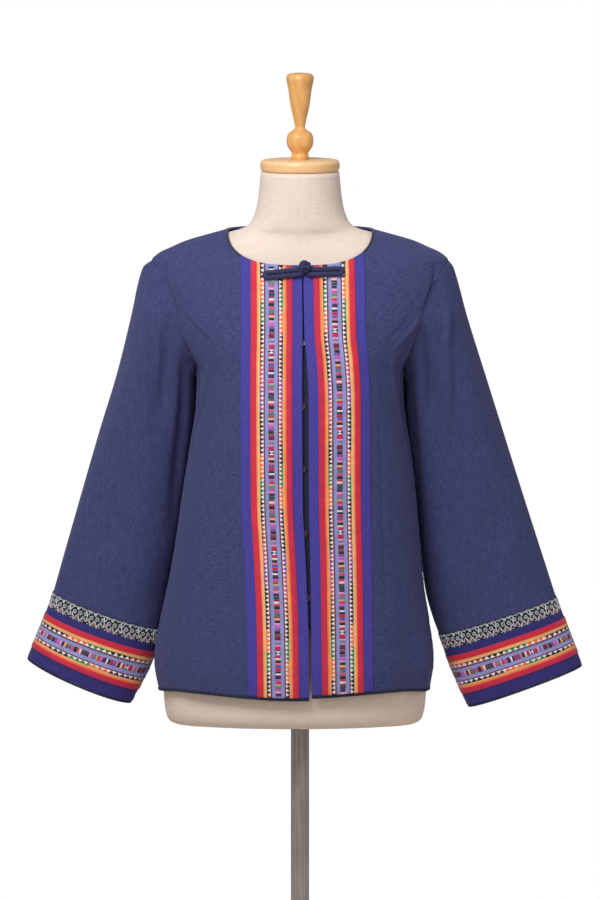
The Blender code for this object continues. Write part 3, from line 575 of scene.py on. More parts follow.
def addPads(pile, at, corners, tint, lift, rise, inset=0.82):
    # Flat raised pads: corners has the pads, their corner points, and across and along
    corners = np.asarray(corners, float)
    sides = corners.shape[1]
    centre = corners.mean(1, keepdims=True)
    inner = centre + (corners - centre) * inset
    places = np.concatenate([corners, inner, centre], 1)
    point, outward = at(places[..., 0], places[..., 1])
    lifts = np.array([lift] * sides + [lift + rise] * (sides + 1))
    point = point + outward * lifts[None, :, None]
    faces = []
    for i in range(sides):
        j = (i + 1) % sides
        faces.append((i, j, sides + j, sides + i))
        faces.append((sides + i, sides + j, 2 * sides, 2 * sides))
    faces.append(tuple(range(sides))[::-1])
    normal = np.cross(point[0, 1] - point[0, 0], point[0, 2] - point[0, 1])
    if np.dot(normal, outward[0, 0]) < 0:
        faces = [face[::-1] for face in faces]
    keep(pile, point, faces, tint, places)


def addThreads(pile, at, paths, tint, width, height, lift, taper=0.35):
    # Half-round threads laid on a surface: paths has the threads, their points, across and along
    paths = np.asarray(paths, float)
    count, points = paths.shape[:2]
    step = np.gradient(paths, axis=1)
    step = step / np.maximum(np.linalg.norm(step, axis=-1, keepdims=True), 1e-9)
    aside = np.stack([-step[..., 1], step[..., 0]], -1)
    grow = np.ones(points)
    grow[0] = grow[-1] = taper
    shares = np.array([-0.5, -0.3, 0.3, 0.5])
    rises = np.array([0.0, 1.0, 1.0, 0.0])
    spread = paths[:, :, None] + aside[:, :, None] * (shares * width)[:, None] * grow[:, None, None]
    point, outward = at(spread[..., 0], spread[..., 1])
    lifts = lift + rises[None, None, :] * height * grow[None, :, None]
    point = point + outward * lifts[..., None]
    faces = []
    for i in range(points - 1):
        for j in range(4):
            k = (j + 1) % 4
            faces.append((4 * i + j, 4 * i + k, 4 * i + 4 + k, 4 * i + 4 + j))
    faces += [(3, 2, 1, 0), (4 * points - 4, 4 * points - 3, 4 * points - 2, 4 * points - 1)]
    flatPoint = point.reshape(count, -1, 3)
    first = flatPoint[0]
    normal = np.cross(first[2] - first[1], first[5] - first[1])
    if np.dot(normal, outward.reshape(count, -1, 3)[0, 1]) < 0:
        faces = [face[::-1] for face in faces]
    keep(pile, flatPoint, faces, tint, spread.reshape(count, -1, 2))


def keep(pile, point, faces, tint, places):
    count, each = point.shape[:2]
    tint = np.broadcast_to(np.asarray(tint, float), (count, 4))
    for number in range(count):
        base = pile["size"] + number * each
        for face in faces:
            corners = list(dict.fromkeys(face))
            pile["faces"].append([base + corner for corner in corners])
            pile["tints"] += [tint[number]] * len(corners)
            pile["uv"] += [places[number][corner] for corner in corners]
    pile["points"].append(point.reshape(-1, 3))
    pile["size"] += count * each


def finishPile(pile, name, material, nodes=()):
    points = np.concatenate(pile["points"])
    return finishMesh(name, points, pile["faces"], pile["uv"], pile["tints"], material, nodes)


# Finishes


def linear(red, green, blue):
    parts = []
    for part in (red / 255, green / 255, blue / 255):
        parts.append(part / 12.92 if part <= 0.04045 else ((part + 0.055) / 1.055) ** 2.4)
    return (*parts, 1.0)


def newMaterial(name, roughness, sheen=0.0, metallic=0.0, specular=0.5):
    made = bpy.data.materials.new(name)
    made.use_nodes = True
    tree = made.node_tree
    shader = tree.nodes["Principled BSDF"]
    shader.inputs["Roughness"].default_value = roughness
    shader.inputs["Metallic"].default_value = metallic
    shader.inputs["Specular IOR Level"].default_value = specular
    shader.inputs["Sheen Weight"].default_value = sheen
    shader.inputs["Sheen Roughness"].default_value = 0.5
    return made, tree, shader


def addNode(tree, kind, **settings):
    node = tree.nodes.new(kind)
    for key, value in settings.items():
        setattr(node, key, value)
    return node


def mathNode(tree, operation, first, second=None):
    node = addNode(tree, "ShaderNodeMath", operation=operation)
    for socket, value in zip(node.inputs, (first, second)):
        if isinstance(value, (int, float)):
            socket.default_value = value
        elif value is not None:
            tree.links.new(value, socket)
    return node.outputs[0]


def times(tree, first, second):
    return mathNode(tree, "MULTIPLY", first, second)


def plus(tree, first, second):
    return mathNode(tree, "ADD", first, second)


def noiseAt(tree, vector, scale, detail=2.0, roughness=0.5):
    # Noise read at a place that is stretched by scale along each direction
    mapping = addNode(tree, "ShaderNodeMapping")
    mapping.inputs["Scale"].default_value = scale
    tree.links.new(vector, mapping.inputs["Vector"])
    noise = addNode(tree, "ShaderNodeTexNoise")
    noise.inputs["Scale"].default_value = 1.0
    noise.inputs["Detail"].default_value = detail
    noise.inputs["Roughness"].default_value = roughness
    tree.links.new(mapping.outputs[0], noise.inputs["Vector"])
    return noise.outputs["Fac"]


def mixColours(tree, share, first, second, blend="MIX"):
    node = addNode(tree, "ShaderNodeMix", data_type="RGBA", blend_type=blend)
    for socket, value in ((node.inputs[0], share), (node.inputs[6], first), (node.inputs[7], second)):
        if isinstance(value, (int, float, tuple)):
            socket.default_value = value
        else:
            tree.links.new(value, socket)
    return node.outputs[2]


def spreadRange(tree, value, low, high, newLow, newHigh):
    node = addNode(tree, "ShaderNodeMapRange")
    tree.links.new(value, node.inputs["Value"])
    for key, number in (("From Min", low), ("From Max", high), ("To Min", newLow), ("To Max", newHigh)):
        node.inputs[key].default_value = number
    return node.outputs[0]


def varyRoughness(tree, shader, pattern, span, roughness, less, more):
    varied = spreadRange(tree, pattern, *span, roughness - less, roughness + more)
    tree.links.new(varied, shader.inputs["Roughness"])


def addBump(tree, shader, height, strength, distance):
    node = addNode(tree, "ShaderNodeBump")
    node.inputs["Strength"].default_value = strength
    node.inputs["Distance"].default_value = distance
    tree.links.new(height, node.inputs["Height"])
    tree.links.new(node.outputs[0], shader.inputs["Normal"])


def clothMap(tree):
    # The cloth's own map in metres, whole and as its two numbers
    layer = addNode(tree, "ShaderNodeUVMap", uv_map="cloth")
    split = addNode(tree, "ShaderNodeSeparateXYZ")
    tree.links.new(layer.outputs[0], split.inputs[0])
    return layer.outputs[0], split.outputs[0], split.outputs[1]


def weaveHeight(tree, u, v, pitch):
    # Over and under of a plain weave: the two sets of threads take turns on top
    waveU = mathNode(tree, "SINE", times(tree, u, math.pi / pitch))
    waveV = mathNode(tree, "SINE", times(tree, v, math.pi / pitch))
    crossing = times(tree, waveU, waveV)
    threads = mathNode(tree, "ABSOLUTE", crossing)
    return plus(tree, times(tree, threads, 0.7), times(tree, crossing, 0.3))


def wovenMaterial(name, values):
    # Plain-woven cloth read on the cloth's own map in metres, with slubs along the weft
    made, tree, shader = newMaterial(name, values["roughness"], values["sheen"], specular=0.25)
    shader.inputs["Sheen Tint"].default_value = values["sheenTint"]
    place, across, along = clothMap(tree)
    wander = noiseAt(tree, place, (60, 60, 1), 3.0)
    weft = noiseAt(tree, place, (values["slub"], 1 / values["pitch"] / 2.2, 1), 3.0, 0.6)
    warp = noiseAt(tree, place, (1 / values["pitch"] / 2.2, values["slub"] * 0.6, 1), 3.0, 0.6)
    cloud = noiseAt(tree, place, (9, 7, 1), 4.0, 0.6)
    heather = plus(tree, times(tree, weft, 0.6), times(tree, warp, 0.4))
    heather = spreadRange(tree, heather, 0.36, 0.64, 0.0, 1.0)
    colour = mixColours(tree, heather, values["dark"], values["light"])
    fade = spreadRange(tree, cloud, 0.35, 0.65, 0.0, values["fade"])
    colour = mixColours(tree, fade, colour, values["worn"])
    tree.links.new(colour, shader.inputs["Base Color"])
    shift = times(tree, wander, values["pitch"] * 1.6)
    height = weaveHeight(tree, plus(tree, across, shift), plus(tree, along, shift), values["pitch"])
    height = plus(tree, height, times(tree, heather, values["slubHeight"]))
    addBump(tree, shader, height, values["bump"], values["pitch"] * 0.5)
    varyRoughness(tree, shader, weft, (0.3, 0.7), values["roughness"], 0.08, 0.08)
    return made


def stitchedMaterial(name, values):
    # Sewn colours: each face has its dye, and fine threads run across the tape
    made, tree, shader = newMaterial(name, values["roughness"], values["sheen"], specular=0.4)
    dye = addNode(tree, "ShaderNodeVertexColor", layer_name="dye")
    place, across, along = clothMap(tree)
    fine = noiseAt(tree, place, (350, 2600, 1), 2.0)
    soft = noiseAt(tree, place, (45, 60, 1), 3.0)
    shade = spreadRange(tree, plus(tree, fine, soft), 0.7, 1.3, values["low"], values["high"])
    colour = mixColours(tree, 1.0, dye.outputs["Color"], shadeColour(tree, shade), "MULTIPLY")
    tree.links.new(colour, shader.inputs["Base Color"])
    threads = mathNode(tree, "SINE", times(tree, along, 2 * math.pi / values["pitch"]))
    weave = weaveHeight(tree, across, along, values["pitch"] * 1.3)
    height = plus(tree, times(tree, threads, 0.35), times(tree, weave, 0.5))
    height = plus(tree, height, times(tree, fine, 0.6))
    addBump(tree, shader, height, values["bump"], values["pitch"] * 0.5)
    return made


def shadeColour(tree, share):
    node = addNode(tree, "ShaderNodeCombineColor")
    for socket in node.inputs[:3]:
        tree.links.new(share, socket)
    return node.outputs[0]


def woodMaterial(name, values):
    made, tree, shader = newMaterial(name, values["roughness"], specular=0.5)
    shader.inputs["Coat Weight"].default_value = values["coat"]
    shader.inputs["Coat Roughness"].default_value = 0.3
    place = addNode(tree, "ShaderNodeTexCoord").outputs["Object"]
    bend = noiseAt(tree, place, values["bend"], 2.0)
    mapping = addNode(tree, "ShaderNodeMapping")
    mapping.inputs["Location"].default_value = values["centre"]
    mapping.inputs["Rotation"].default_value = values["turn"]
    tree.links.new(place, mapping.inputs["Vector"])
    rings = addNode(tree, "ShaderNodeTexWave", wave_type="RINGS", rings_direction="Z")
    rings.inputs["Scale"].default_value = values["rings"]
    rings.inputs["Distortion"].default_value = 3.0
    rings.inputs["Detail"].default_value = 3.0
    rings.inputs["Detail Scale"].default_value = 2.0
    tree.links.new(mapping.outputs[0], rings.inputs["Vector"])
    streaks = noiseAt(tree, place, values["streaks"], 3.0, 0.65)
    grain = plus(tree, times(tree, rings.outputs["Fac"], 0.55), times(tree, streaks, 0.75))
    grain = plus(tree, grain, times(tree, bend, 0.25))
    colour = mixColours(tree, spreadRange(tree, grain, 0.45, 1.15, 0.0, 1.0), values["light"], values["dark"])
    tree.links.new(colour, shader.inputs["Base Color"])
    addBump(tree, shader, streaks, 0.15, 0.0004)
    varyRoughness(tree, shader, grain, (0.4, 1.1), values["roughness"], 0.06, 0.1)
    return made


def steelMaterial(name, values):
    made, tree, shader = newMaterial(name, values["roughness"], metallic=values["metallic"], specular=0.5)
    place = addNode(tree, "ShaderNodeTexCoord").outputs["Object"]
    brushed = noiseAt(tree, place, values["brush"], 3.0)
    marks = noiseAt(tree, place, (14, 14, 9), 3.0, 0.5)
    colour = mixColours(tree, spreadRange(tree, plus(tree, brushed, marks), 0.75, 1.25, 0.0, 1.0),
                        values["dark"], values["light"])
    tree.links.new(colour, shader.inputs["Base Color"])
    varyRoughness(tree, shader, marks, (0.35, 0.65), values["roughness"], 0.1, 0.12)
    addBump(tree, shader, brushed, 0.1, 0.0002)
    return made


dyeRows = {
    "red": (220, 26, 52), "crimson": (188, 24, 74), "orange": (240, 112, 46), "amber": (250, 176, 90),
    "lemon": (242, 198, 132), "white": (240, 232, 232), "cream": (240, 204, 184), "pink": (232, 150, 196),
    "rose": (204, 76, 116), "purple": (138, 66, 156), "plum": (70, 22, 66), "black": (24, 20, 28),
    "teal": (62, 118, 130), "sky": (92, 158, 204), "ice": (142, 148, 206), "lilac": (176, 150, 206),
    "green": (42, 128, 74), "wine": (112, 16, 44), "slate": (112, 120, 150), "rust": (150, 66, 44),
    # blueShaded is the blue thread darkened with painted shade, for the stitches on the cuff strips
    "violet": (92, 72, 190), "navy": (32, 34, 60), "blue": (60, 55, 144), "blueShaded": (44, 42, 104),
    "frost": (236, 241, 247), "blush": (242, 226, 232), "lime": (190, 200, 90), "orchid": (190, 96, 186),
    "forest": (24, 66, 52),
}
dyes = {name: linear(*row) for name, row in dyeRows.items()}

wovenColumns = ("dark", "light", "worn", "fade", "pitch", "slub", "slubHeight", "bump", "roughness", "sheen",
                "sheenTint")
wovenRows = {
    "navyCloth": ((40, 43, 84), (74, 79, 126), (62, 66, 108),
                  0.35, 0.00055, 110, 0.6, 0.5, 0.86, 0.22, (150, 156, 200)),
    "violetCloth": ((54, 48, 132), (78, 72, 166), (66, 60, 148),
                    0.4, 0.0004, 160, 0.3, 0.35, 0.8, 0.2, (160, 156, 220)),
    # cuffClothShaded is the violet strip cloth darkened with painted shade, because the cuffs hang low where
    # less light falls
    "cuffClothShaded": ((38, 34, 96), (58, 54, 126), (48, 44, 108),
                  0.5, 0.0004, 160, 0.3, 0.35, 0.8, 0.2, (160, 156, 220)),
    "darkCloth": ((24, 28, 46), (46, 52, 74), (40, 46, 66),
                  0.4, 0.00045, 140, 0.4, 0.4, 0.85, 0.15, (130, 140, 170)),
    "trimCloth": ((18, 24, 28), (44, 56, 58), (34, 42, 50),
                  0.5, 0.0004, 260, 0.4, 0.4, 0.8, 0.1, (150, 160, 170)),
    "linenCloth": ((220, 202, 188), (238, 222, 210), (226, 206, 192),
                   0.5, 0.0007, 70, 0.7, 0.35, 0.9, 0.1, (255, 245, 230)),
    "navyCord": ((32, 33, 64), (62, 63, 102), (52, 52, 86),
                 0.4, 0.0004, 300, 0.4, 0.4, 0.8, 0.2, (160, 164, 210)),
}
woven = {}
for name, row in wovenRows.items():
    row = [linear(*value) if isinstance(value, tuple) else value for value in row]
    woven[name] = wovenMaterial(name, dict(zip(wovenColumns, row)))
stitched = stitchedMaterial("stitchedTape", {
    "roughness": 0.62, "sheen": 0.2, "pitch": 0.0006, "bump": 0.45, "low": 0.78, "high": 1.12})
threadCord = stitchedMaterial("sewingThread", {
    "roughness": 0.55, "sheen": 0.2, "pitch": 0.0003, "bump": 0.4, "low": 0.8, "high": 1.1})
buttonHorn = steelMaterial("buttonHorn", {
    "dark": linear(40, 26, 22), "light": linear(88, 60, 46), "roughness": 0.3, "metallic": 0.0,
    "brush": (300, 300, 900)})
capWood = woodMaterial("capWood", {
    "light": linear(246, 202, 148), "dark": linear(230, 178, 122), "roughness": 0.42, "coat": 0.15,
    "bend": (8, 8, 8), "centre": (0.0, 0.30, -1.49), "turn": (math.pi / 2, 0.12, 0.0), "rings": 26.0,
    "streaks": (12, 420, 320)})
handleWood = woodMaterial("handleWood", {
    "light": linear(226, 170, 100), "dark": linear(214, 154, 86), "roughness": 0.4, "coat": 0.2,
    "bend": (30, 30, 8), "centre": (0.03, 0.012, 0.0), "turn": (0.05, 0.03, 0.0), "rings": 34.0,
    "streaks": (420, 420, 14)})
poleSteel = steelMaterial("poleSteel", {
    "dark": linear(134, 128, 124), "light": linear(190, 184, 180), "roughness": 0.38, "metallic": 0.8,
    "brush": (900, 900, 9)})
baseSteel = steelMaterial("baseSteel", {
    "dark": linear(132, 128, 123), "light": linear(152, 148, 142), "roughness": 0.45, "metallic": 0.85,
    "brush": (60, 60, 60)})
print("finishes made")

# The navy panels

panels = {
    "lowCells": 130, "armCells": 40, "neckCells": 16, "frontColumns": 46, "backColumns": 84,
    "edgeRoll": (0.0012, 0.00035), "sleeveTurns": 120, "sleeveRows": 150,
    # the seam of each sleeve: how far in and out it reaches, and its depths under the face
    "seamReach": (-0.0012, 0.0014), "seamDepths": (-0.0003, -0.0016),
    # it widens under the arm: over this much of a turn, and this far down and out
    "gusset": (0.75, 0.0085, 0.0030),
}
levels = panelLevels(panels["lowCells"], panels["armCells"], panels["neckCells"])
dart = jacket["dartPlace"]
frontShares = sorted(
    set(np.linspace(0, 1, panels["frontColumns"])[1:].round(4))
    | {round(dart + d, 4) for d in (-0.03, -0.018, -0.01, -0.004, 0.0, 0.004, 0.01, 0.018, 0.03)}
    | {0.970, 0.984, 0.992, 0.997})
bandColumns = np.linspace(0, jacket["bandWidth"], 25)


def seamDistance(point):
    # Distance of each point of a grid from the last column of its row
    steps = stepsOf(point, 1)
    total = np.cumsum(steps[:, ::-1], 1)[:, ::-1]
    return np.hstack([total, np.zeros((len(point), 1))])


def clothPlace(turns, heights):
    # The weave's own map of the body, in metres: round it, and up along the middle of the front
    fine = np.linspace(bodyRows[0][0] - 0.01, bodyRows[-1][0] + 0.01, 600)
    depths = readTable(bodyTable, fine)[1]
    lengths = np.concatenate([[0], np.cumsum(np.hypot(np.diff(fine), np.diff(depths)))])
    return turns * roundBody, np.interp(heights, fine, lengths)


def navyShell(name, surface, high, nodes, **more):
    return shell(name, surface, high, -jacket["cloth"], woven["navyCloth"], "navy_cloth", nodes, **more)


def makeFront(side, word):
    turns, heights = frontGrid(side, levels, bandColumns, frontShares)
    surface = bodyAt(turns, heights)
    away = seamDistance(surface[0])
    high = rollOff(away, *panels["edgeRoll"])
    return navyShell(f"front_{word}_cloth", surface, high, [f"front_{word}"],
                     place=clothPlace(turns, heights), facing=bodyFacing(turns, heights))


def makeBack():
    shares = np.linspace(0, 1, panels["backColumns"])
    near = np.array([0.002, 0.005, 0.009])
    shares = np.unique(np.concatenate([shares, near, 1 - near]).round(5))
    turns, heights = backGrid(levels, shares)
    surface = bodyAt(turns, heights)
    away = np.minimum(seamDistance(surface[0]), seamDistance(surface[0][:, ::-1])[:, ::-1])
    high = rollOff(away, *panels["edgeRoll"])
    return navyShell("back_cloth", surface, high, ["back"],
                     place=clothPlace(turns, heights), facing=bodyFacing(turns, heights))


def makeSleeve(side, word):
    end = cuffEnds[side]
    lengths = np.unique(np.concatenate([
        [0.0, 0.0008, 0.0018, 0.003, 0.0045, 0.0065],
        np.linspace(0.009, end, panels["sleeveRows"])]))
    turns = 2 * math.pi * np.arange(panels["sleeveTurns"]) / panels["sleeveTurns"]
    surface = sleeveAt(turns[None, :], lengths[:, None], side)
    high = rollOff(lengths, *panels["edgeRoll"])[:, None]
    return navyShell(f"sleeve_{word}_cloth", surface, high, [f"sleeve_{word}"], ring=True)


def makeSeam(side, word):
    # The sewn seam that closes the thin gap between a sleeve and the body
    turns = 2 * math.pi * np.arange(160)[None, :] / 160
    wide, down, out = panels["gusset"]
    under = bump((turns - math.pi) / wide)
    share = np.linspace(0, 1, 8)[:, None]
    first, last = panels["seamReach"]
    reach = (first - down * under) * (1 - share) + last * share
    point, outward = armholeAt(turns, reach + jacket["gap"] / 2)
    flip = np.array([side, 1.0, 1.0])
    high, low = panels["seamDepths"]
    high = high + out * under * np.sin(math.pi * np.clip(share * 1.1, 0, 1)) ** 0.7
    return shell(f"armhole_seam_{word}", (point * flip, outward * flip), high, low, woven["navyCloth"],
                 "navy_cloth", (), ring=True)


sides = {"right": -1, "left": 1}
fronts = {word: makeFront(side, word) for word, side in sides.items()}
back = makeBack()
sleeves = {word: makeSleeve(side, word) for word, side in sides.items()}
seams = {word: makeSeam(side, word) for word, side in sides.items()}
print("navy panels made")

# The embroidered tape: stripes, teeth and patches, the same on the fronts and the cuffs

tape = {
    # width of each stripe in metres, its dyes at its two edges, and how far it stands up
    "stripes": (
        (0.0080, "crimson", "red", 0.00025), (0.0045, "orange", "lemon", 0.00015),
        (0.0050, "black", "black", 0.0), (0.0015, "wine", "wine", 0.0003), (0.0170, "ice", "ice", 0.0),
        (0.0015, "wine", "wine", 0.0003), (0.0050, "black", "black", 0.0),
        (0.0045, "lemon", "orange", 0.00015), (0.0080, "red", "crimson", 0.00025),
    ),
    "toothPitch": 0.0056, "cuffToothPitch": 0.0080, "toothRise": 0.0003,
    # grounds of the teeth, each over this length
    "grounds": ("black", "plum", "rose", "green", "black", "rust", "orange", "purple"), "groundLength": 0.029,
    "patchWidth": 0.0076, "patchRise": 0.00035, "patchGap": 0.0002,
    # how far in and down the edges of the strips under the tape roll
    "stripRoll": (0.0012, 0.0006),
    # running stitches of the tape's own edges: pitch, length and width
    "tapeStitch": (0.0026, 0.0016, 0.0003),
    # one repeat of the patches down the tape: dye and length in metres, "tie" is a small bow-tie
    "patches": (
        ("tie", 0.0050), ("crimson", 0.0062), ("pink", 0.0024), ("slate", 0.0026), ("lilac", 0.0030),
        ("wine", 0.0058), ("rust", 0.0026), ("black", 0.0040), ("purple", 0.0030), ("orchid", 0.0050),
        ("pink", 0.0026), ("black", 0.0036), ("amber", 0.0028), ("rust", 0.0034), ("teal", 0.0036),
        ("rose", 0.0044), ("black", 0.0046), ("red", 0.0026), ("cream", 0.0036), ("wine", 0.0026),
        ("forest", 0.0040), ("plum", 0.0040), ("pink", 0.0030), ("rose", 0.0030), ("slate", 0.0040),
        ("lime", 0.0020), ("red", 0.0036), ("orchid", 0.0034), ("plum", 0.0052), ("white", 0.0024),
        ("black", 0.0030), ("crimson", 0.0048), ("violet", 0.0034), ("orange", 0.0026), ("black", 0.0036),
        ("cream", 0.0028), ("crimson", 0.0040),
    ),
}
tapeWidth = sum(row[0] for row in tape["stripes"])


def stripeColumns(start, width):
    # Columns across a tape, with each column's rise and the dye of each cell between columns
    scale = width / tapeWidth
    places, rises, tints, grounds, place = [], [], [], [], start
    for size, first, last, rise in tape["stripes"]:
        for share, part in ((0.0, 0.2), (0.12, 0.8), (0.5, 1.0), (0.88, 0.8), (1.0, 0.2)):
            places.append(place + size * scale * share * 0.999)
            rises.append(rise * part)
            tints.append([a + (b - a) * share for a, b in zip(dyes[first], dyes[last])])
            grounds.append(first == "black")
        place += size * scale
    return np.array(places), np.array(rises), np.array(tints[:-1]), np.array(grounds[:-1])


def groundAt(along, row):
    # Dye of the ground behind the teeth: the two rows of teeth change colour at other places
    grounds = tape["grounds"]
    shift = (0.0, 0.4)[row] * tape["groundLength"]
    number = int((along + shift) / tape["groundLength"])
    return dyes[grounds[(number * (3, 5)[row] + row) % len(grounds)]]


def tapeTints(tints, grounds, alongs):
    # The dye of every cell, with the teeth's grounds changing along the tape
    cells = np.repeat(tints[None], len(alongs) - 1, axis=0)
    half = len(grounds) // 2
    for i, (a, b) in enumerate(zip(alongs, alongs[1:])):
        for row, columns in ((0, np.arange(half)), (1, np.arange(half, len(grounds)))):
            cells[i, columns[grounds[columns]]] = groundAt((a + b) / 2, row)
    return cells


def stripeMiddle(number, start, width):
    scale = width / tapeWidth
    before = sum(row[0] for row in tape["stripes"][:number])
    return start + scale * (before + tape["stripes"][number][0] / 2), scale * tape["stripes"][number][0]


def boxAt(across, along, wide, long):
    return [(across - wide / 2, along - long / 2), (across + wide / 2, along - long / 2),
            (across + wide / 2, along + long / 2), (across - wide / 2, along + long / 2)]


def addPatches(pile, at, start, width, first, last, lift, shift, upside):
    # The row of patches down the middle, charted from one repeat
    middle, _ = stripeMiddle(4, start, width)
    wide = tape["patchWidth"] * width / tapeWidth
    rows = tape["patches"][::-1] if upside else tape["patches"]
    total = sum(long for _, long in rows)
    place, number = first - shift % total, 0
    while place < last:
        dye, long = rows[number % len(rows)]
        begin, end = max(place, first), min(place + long, last)
        body, along = end - begin - tape["patchGap"], (begin + end) / 2
        wobble = 0.0003 * math.sin(number * 2.3)
        if body > 0.001 and dye != "tie":
            size = wide * (1 + 0.05 * math.sin(number * 1.7))
            pad = boxAt(middle + wobble, along, size, body)
            addPads(pile, at, [pad], dyes[dye], lift, tape["patchRise"], 0.88)
        elif body > 0.001:
            corners = boxAt(middle + wobble, along, wide, body)
            centre = (middle + wobble, along)
            for i, tint in enumerate(("white", "black", "white", "teal")):
                triangle = [corners[i], corners[(i + 1) % 4], centre]
                addPads(pile, at, [triangle], dyes[tint], lift, tape["patchRise"], 0.86)
        place += long
        number += 1


def addTeeth(pile, at, start, width, firsts, last, lift, pitch):
    # White teeth in two rows, their points away from the patches
    pads = []
    for number, away, first in ((2, -1, firsts[0]), (6, 1, firsts[1])):
        count = int((last - first) / pitch)
        pitch = (last - first) / count
        middle, wide = stripeMiddle(number, start, width)
        base, point = middle - away * wide * 0.49, middle + away * wide * 0.42
        for i in range(count):
            along = first + pitch * (i + 0.5) + 0.0002 * math.sin(i * 2.1 + number)
            half = pitch * (0.475 + 0.02 * math.sin(i * 1.3 + number))
            tip = point + away * 0.0003 * math.sin(i * 3.1)
            pads.append([(base, along - half), (base, along + half), (tip, along)])
    addPads(pile, at, pads, dyes["white"], lift, tape["toothRise"], 0.84)


def addStitches(pile, at, acrosses, first, last, lift, tint, pitch=0.0030, long=0.0019, width=0.00042):
    # Rows of small running stitches along a piece's edges
    count = int((last - first) / pitch)
    paths = []
    for across in acrosses:
        for i in range(count):
            begin = first + (i + 0.3) * (last - first) / count
            lean = 0.00008 * math.sin(i * 1.9 + across * 900)
            paths.append([(across + lean * share, begin + long * share) for share in (0.0, 0.35, 0.65, 1.0)])
    addThreads(pile, at, paths, tint, width, width * 0.55, lift)


# Bands on the fronts

bands = {
    "levelCount": 220, "stripColumns": 34, "patchShift": {-1: 0.020, 1: 0.052},
    # where the patches and the two rows of teeth begin under bandTop
    "patchTop": 0.0004, "teethTops": (0.0016, -0.0022),
    "length": {-1: 0.5645, 1: 0.5615},
}
bandLevels = np.linspace(*levelSpan(), bands["levelCount"])
bandTop = jacket["neckFront"] - 0.0008  # patches and stitches run down from here


def stripPlaces(width, count, nears):
    # Places across a strip, closer together near its two edges
    nears = np.array(nears)
    return np.unique(np.concatenate([np.linspace(0, width, count), nears, width - nears[::-1]]))


def edgeRoll(places, width):
    return rollOff(np.minimum(places, width - places), *tape["stripRoll"])


def bandSurface(side, offsets):
    turns, heights = bandPlace(side, bandLevels[:, None], np.asarray(offsets)[None, :])
    return bodyAt(turns, heights)


def bandAt(side):
    def at(across, along):
        height = bandTop - along
        return bodyAt(turnAtX(edgeX(side, height, across), height), height)
    return at


def makeBand(side, word):
    strip, gap, margin = jacket["strip"], jacket["gap"], jacket["bandMargin"]
    width = jacket["bandWidth"]
    places = stripPlaces(width, bands["stripColumns"], (0.0003, 0.0008, 0.0016))
    high = gap + strip + edgeRoll(places, width)
    made = [shell(f"strip_{word}_cloth", bandSurface(side, places), high, gap, woven["violetCloth"],
                  "violet_strip", [f"strip_{word}"])]
    places, rises, tints, grounds = stripeColumns(margin, tapeWidth)
    low = 2 * gap + strip
    high = low + jacket["tape"] - 0.0004 + rises
    alongs = bandLevels[-1] - bandLevels
    alongs = alongs * (jacket["neckFront"] - jacket["hem"]) / alongs[0]
    made.append(shell(f"tape_{word}_cloth", bandSurface(side, places), high, low, stitched,
                      "embroidered_tape", [f"tape_{word}"], tint=tapeTints(tints, grounds, alongs)))
    at = bandAt(side)
    first, last = 0.0045, bands["length"][side]
    top = low + jacket["tape"] - 0.0004
    pile = newPile()
    addPatches(pile, at, margin, tapeWidth, bands["patchTop"], last, top - 0.0001, bands["patchShift"][side],
               side < 0)
    addTeeth(pile, at, margin, tapeWidth, bands["teethTops"], last, top - 0.0001, tape["toothPitch"])
    made.append(finishPile(pile, f"patches_{word}_cloth", stitched))
    pile = newPile()
    addStitches(pile, at, (0.0019, width - 0.0019), first, last, gap + strip - 0.0001, dyes["blue"])
    edges = (margin + 0.0009, margin + 0.0071, margin + tapeWidth - 0.0071, margin + tapeWidth - 0.0009)
    addStitches(pile, at, edges, first, last, top + 0.00012, dyes["crimson"], *tape["tapeStitch"])
    made.append(finishPile(pile, f"band_stitches_{word}", threadCord))
    return made


for word, side in sides.items():
    makeBand(side, word)
print("front bands made")

# Cuffs: blue band, tape, trim and dark edge

cuffs = {
    "turns": 240, "patchShift": {-1: 0.061, 1: 0.118}, "trimRepeat": 0.0245,
    "threadWidth": 0.00098, "threadRise": 0.00045,
    "round": {-1: 0.398, 1: 0.416},  # length of the cut strips
}


def cuffTurns():
    return math.pi + 2 * math.pi * np.arange(cuffs["turns"]) / cuffs["turns"]


def cuffSurface(side, lengths):
    return sleeveAt(cuffTurns()[None, :], np.asarray(lengths)[:, None], side)


def roundCuff(side, length):
    # Distance round the cuff of each turn, from the seam under the arm, and the whole way round
    turns = math.pi + np.linspace(0, 2 * math.pi, 361)
    point, _ = sleeveAt(turns, np.full(turns.shape, length), side)
    steps = np.linalg.norm(np.diff(point, axis=0), axis=1)
    return np.concatenate([[0], np.cumsum(steps)]), turns


def cuffAt(side, length):
    # across counts up the sleeve from the end of the strip, along counts round from the seam
    places, turns = roundCuff(side, length)

    def at(across, along):
        turn = np.interp(along, places, turns)
        return sleeveAt(turn, cuffEnds[side] - across, side)
    return at, float(places[-1])


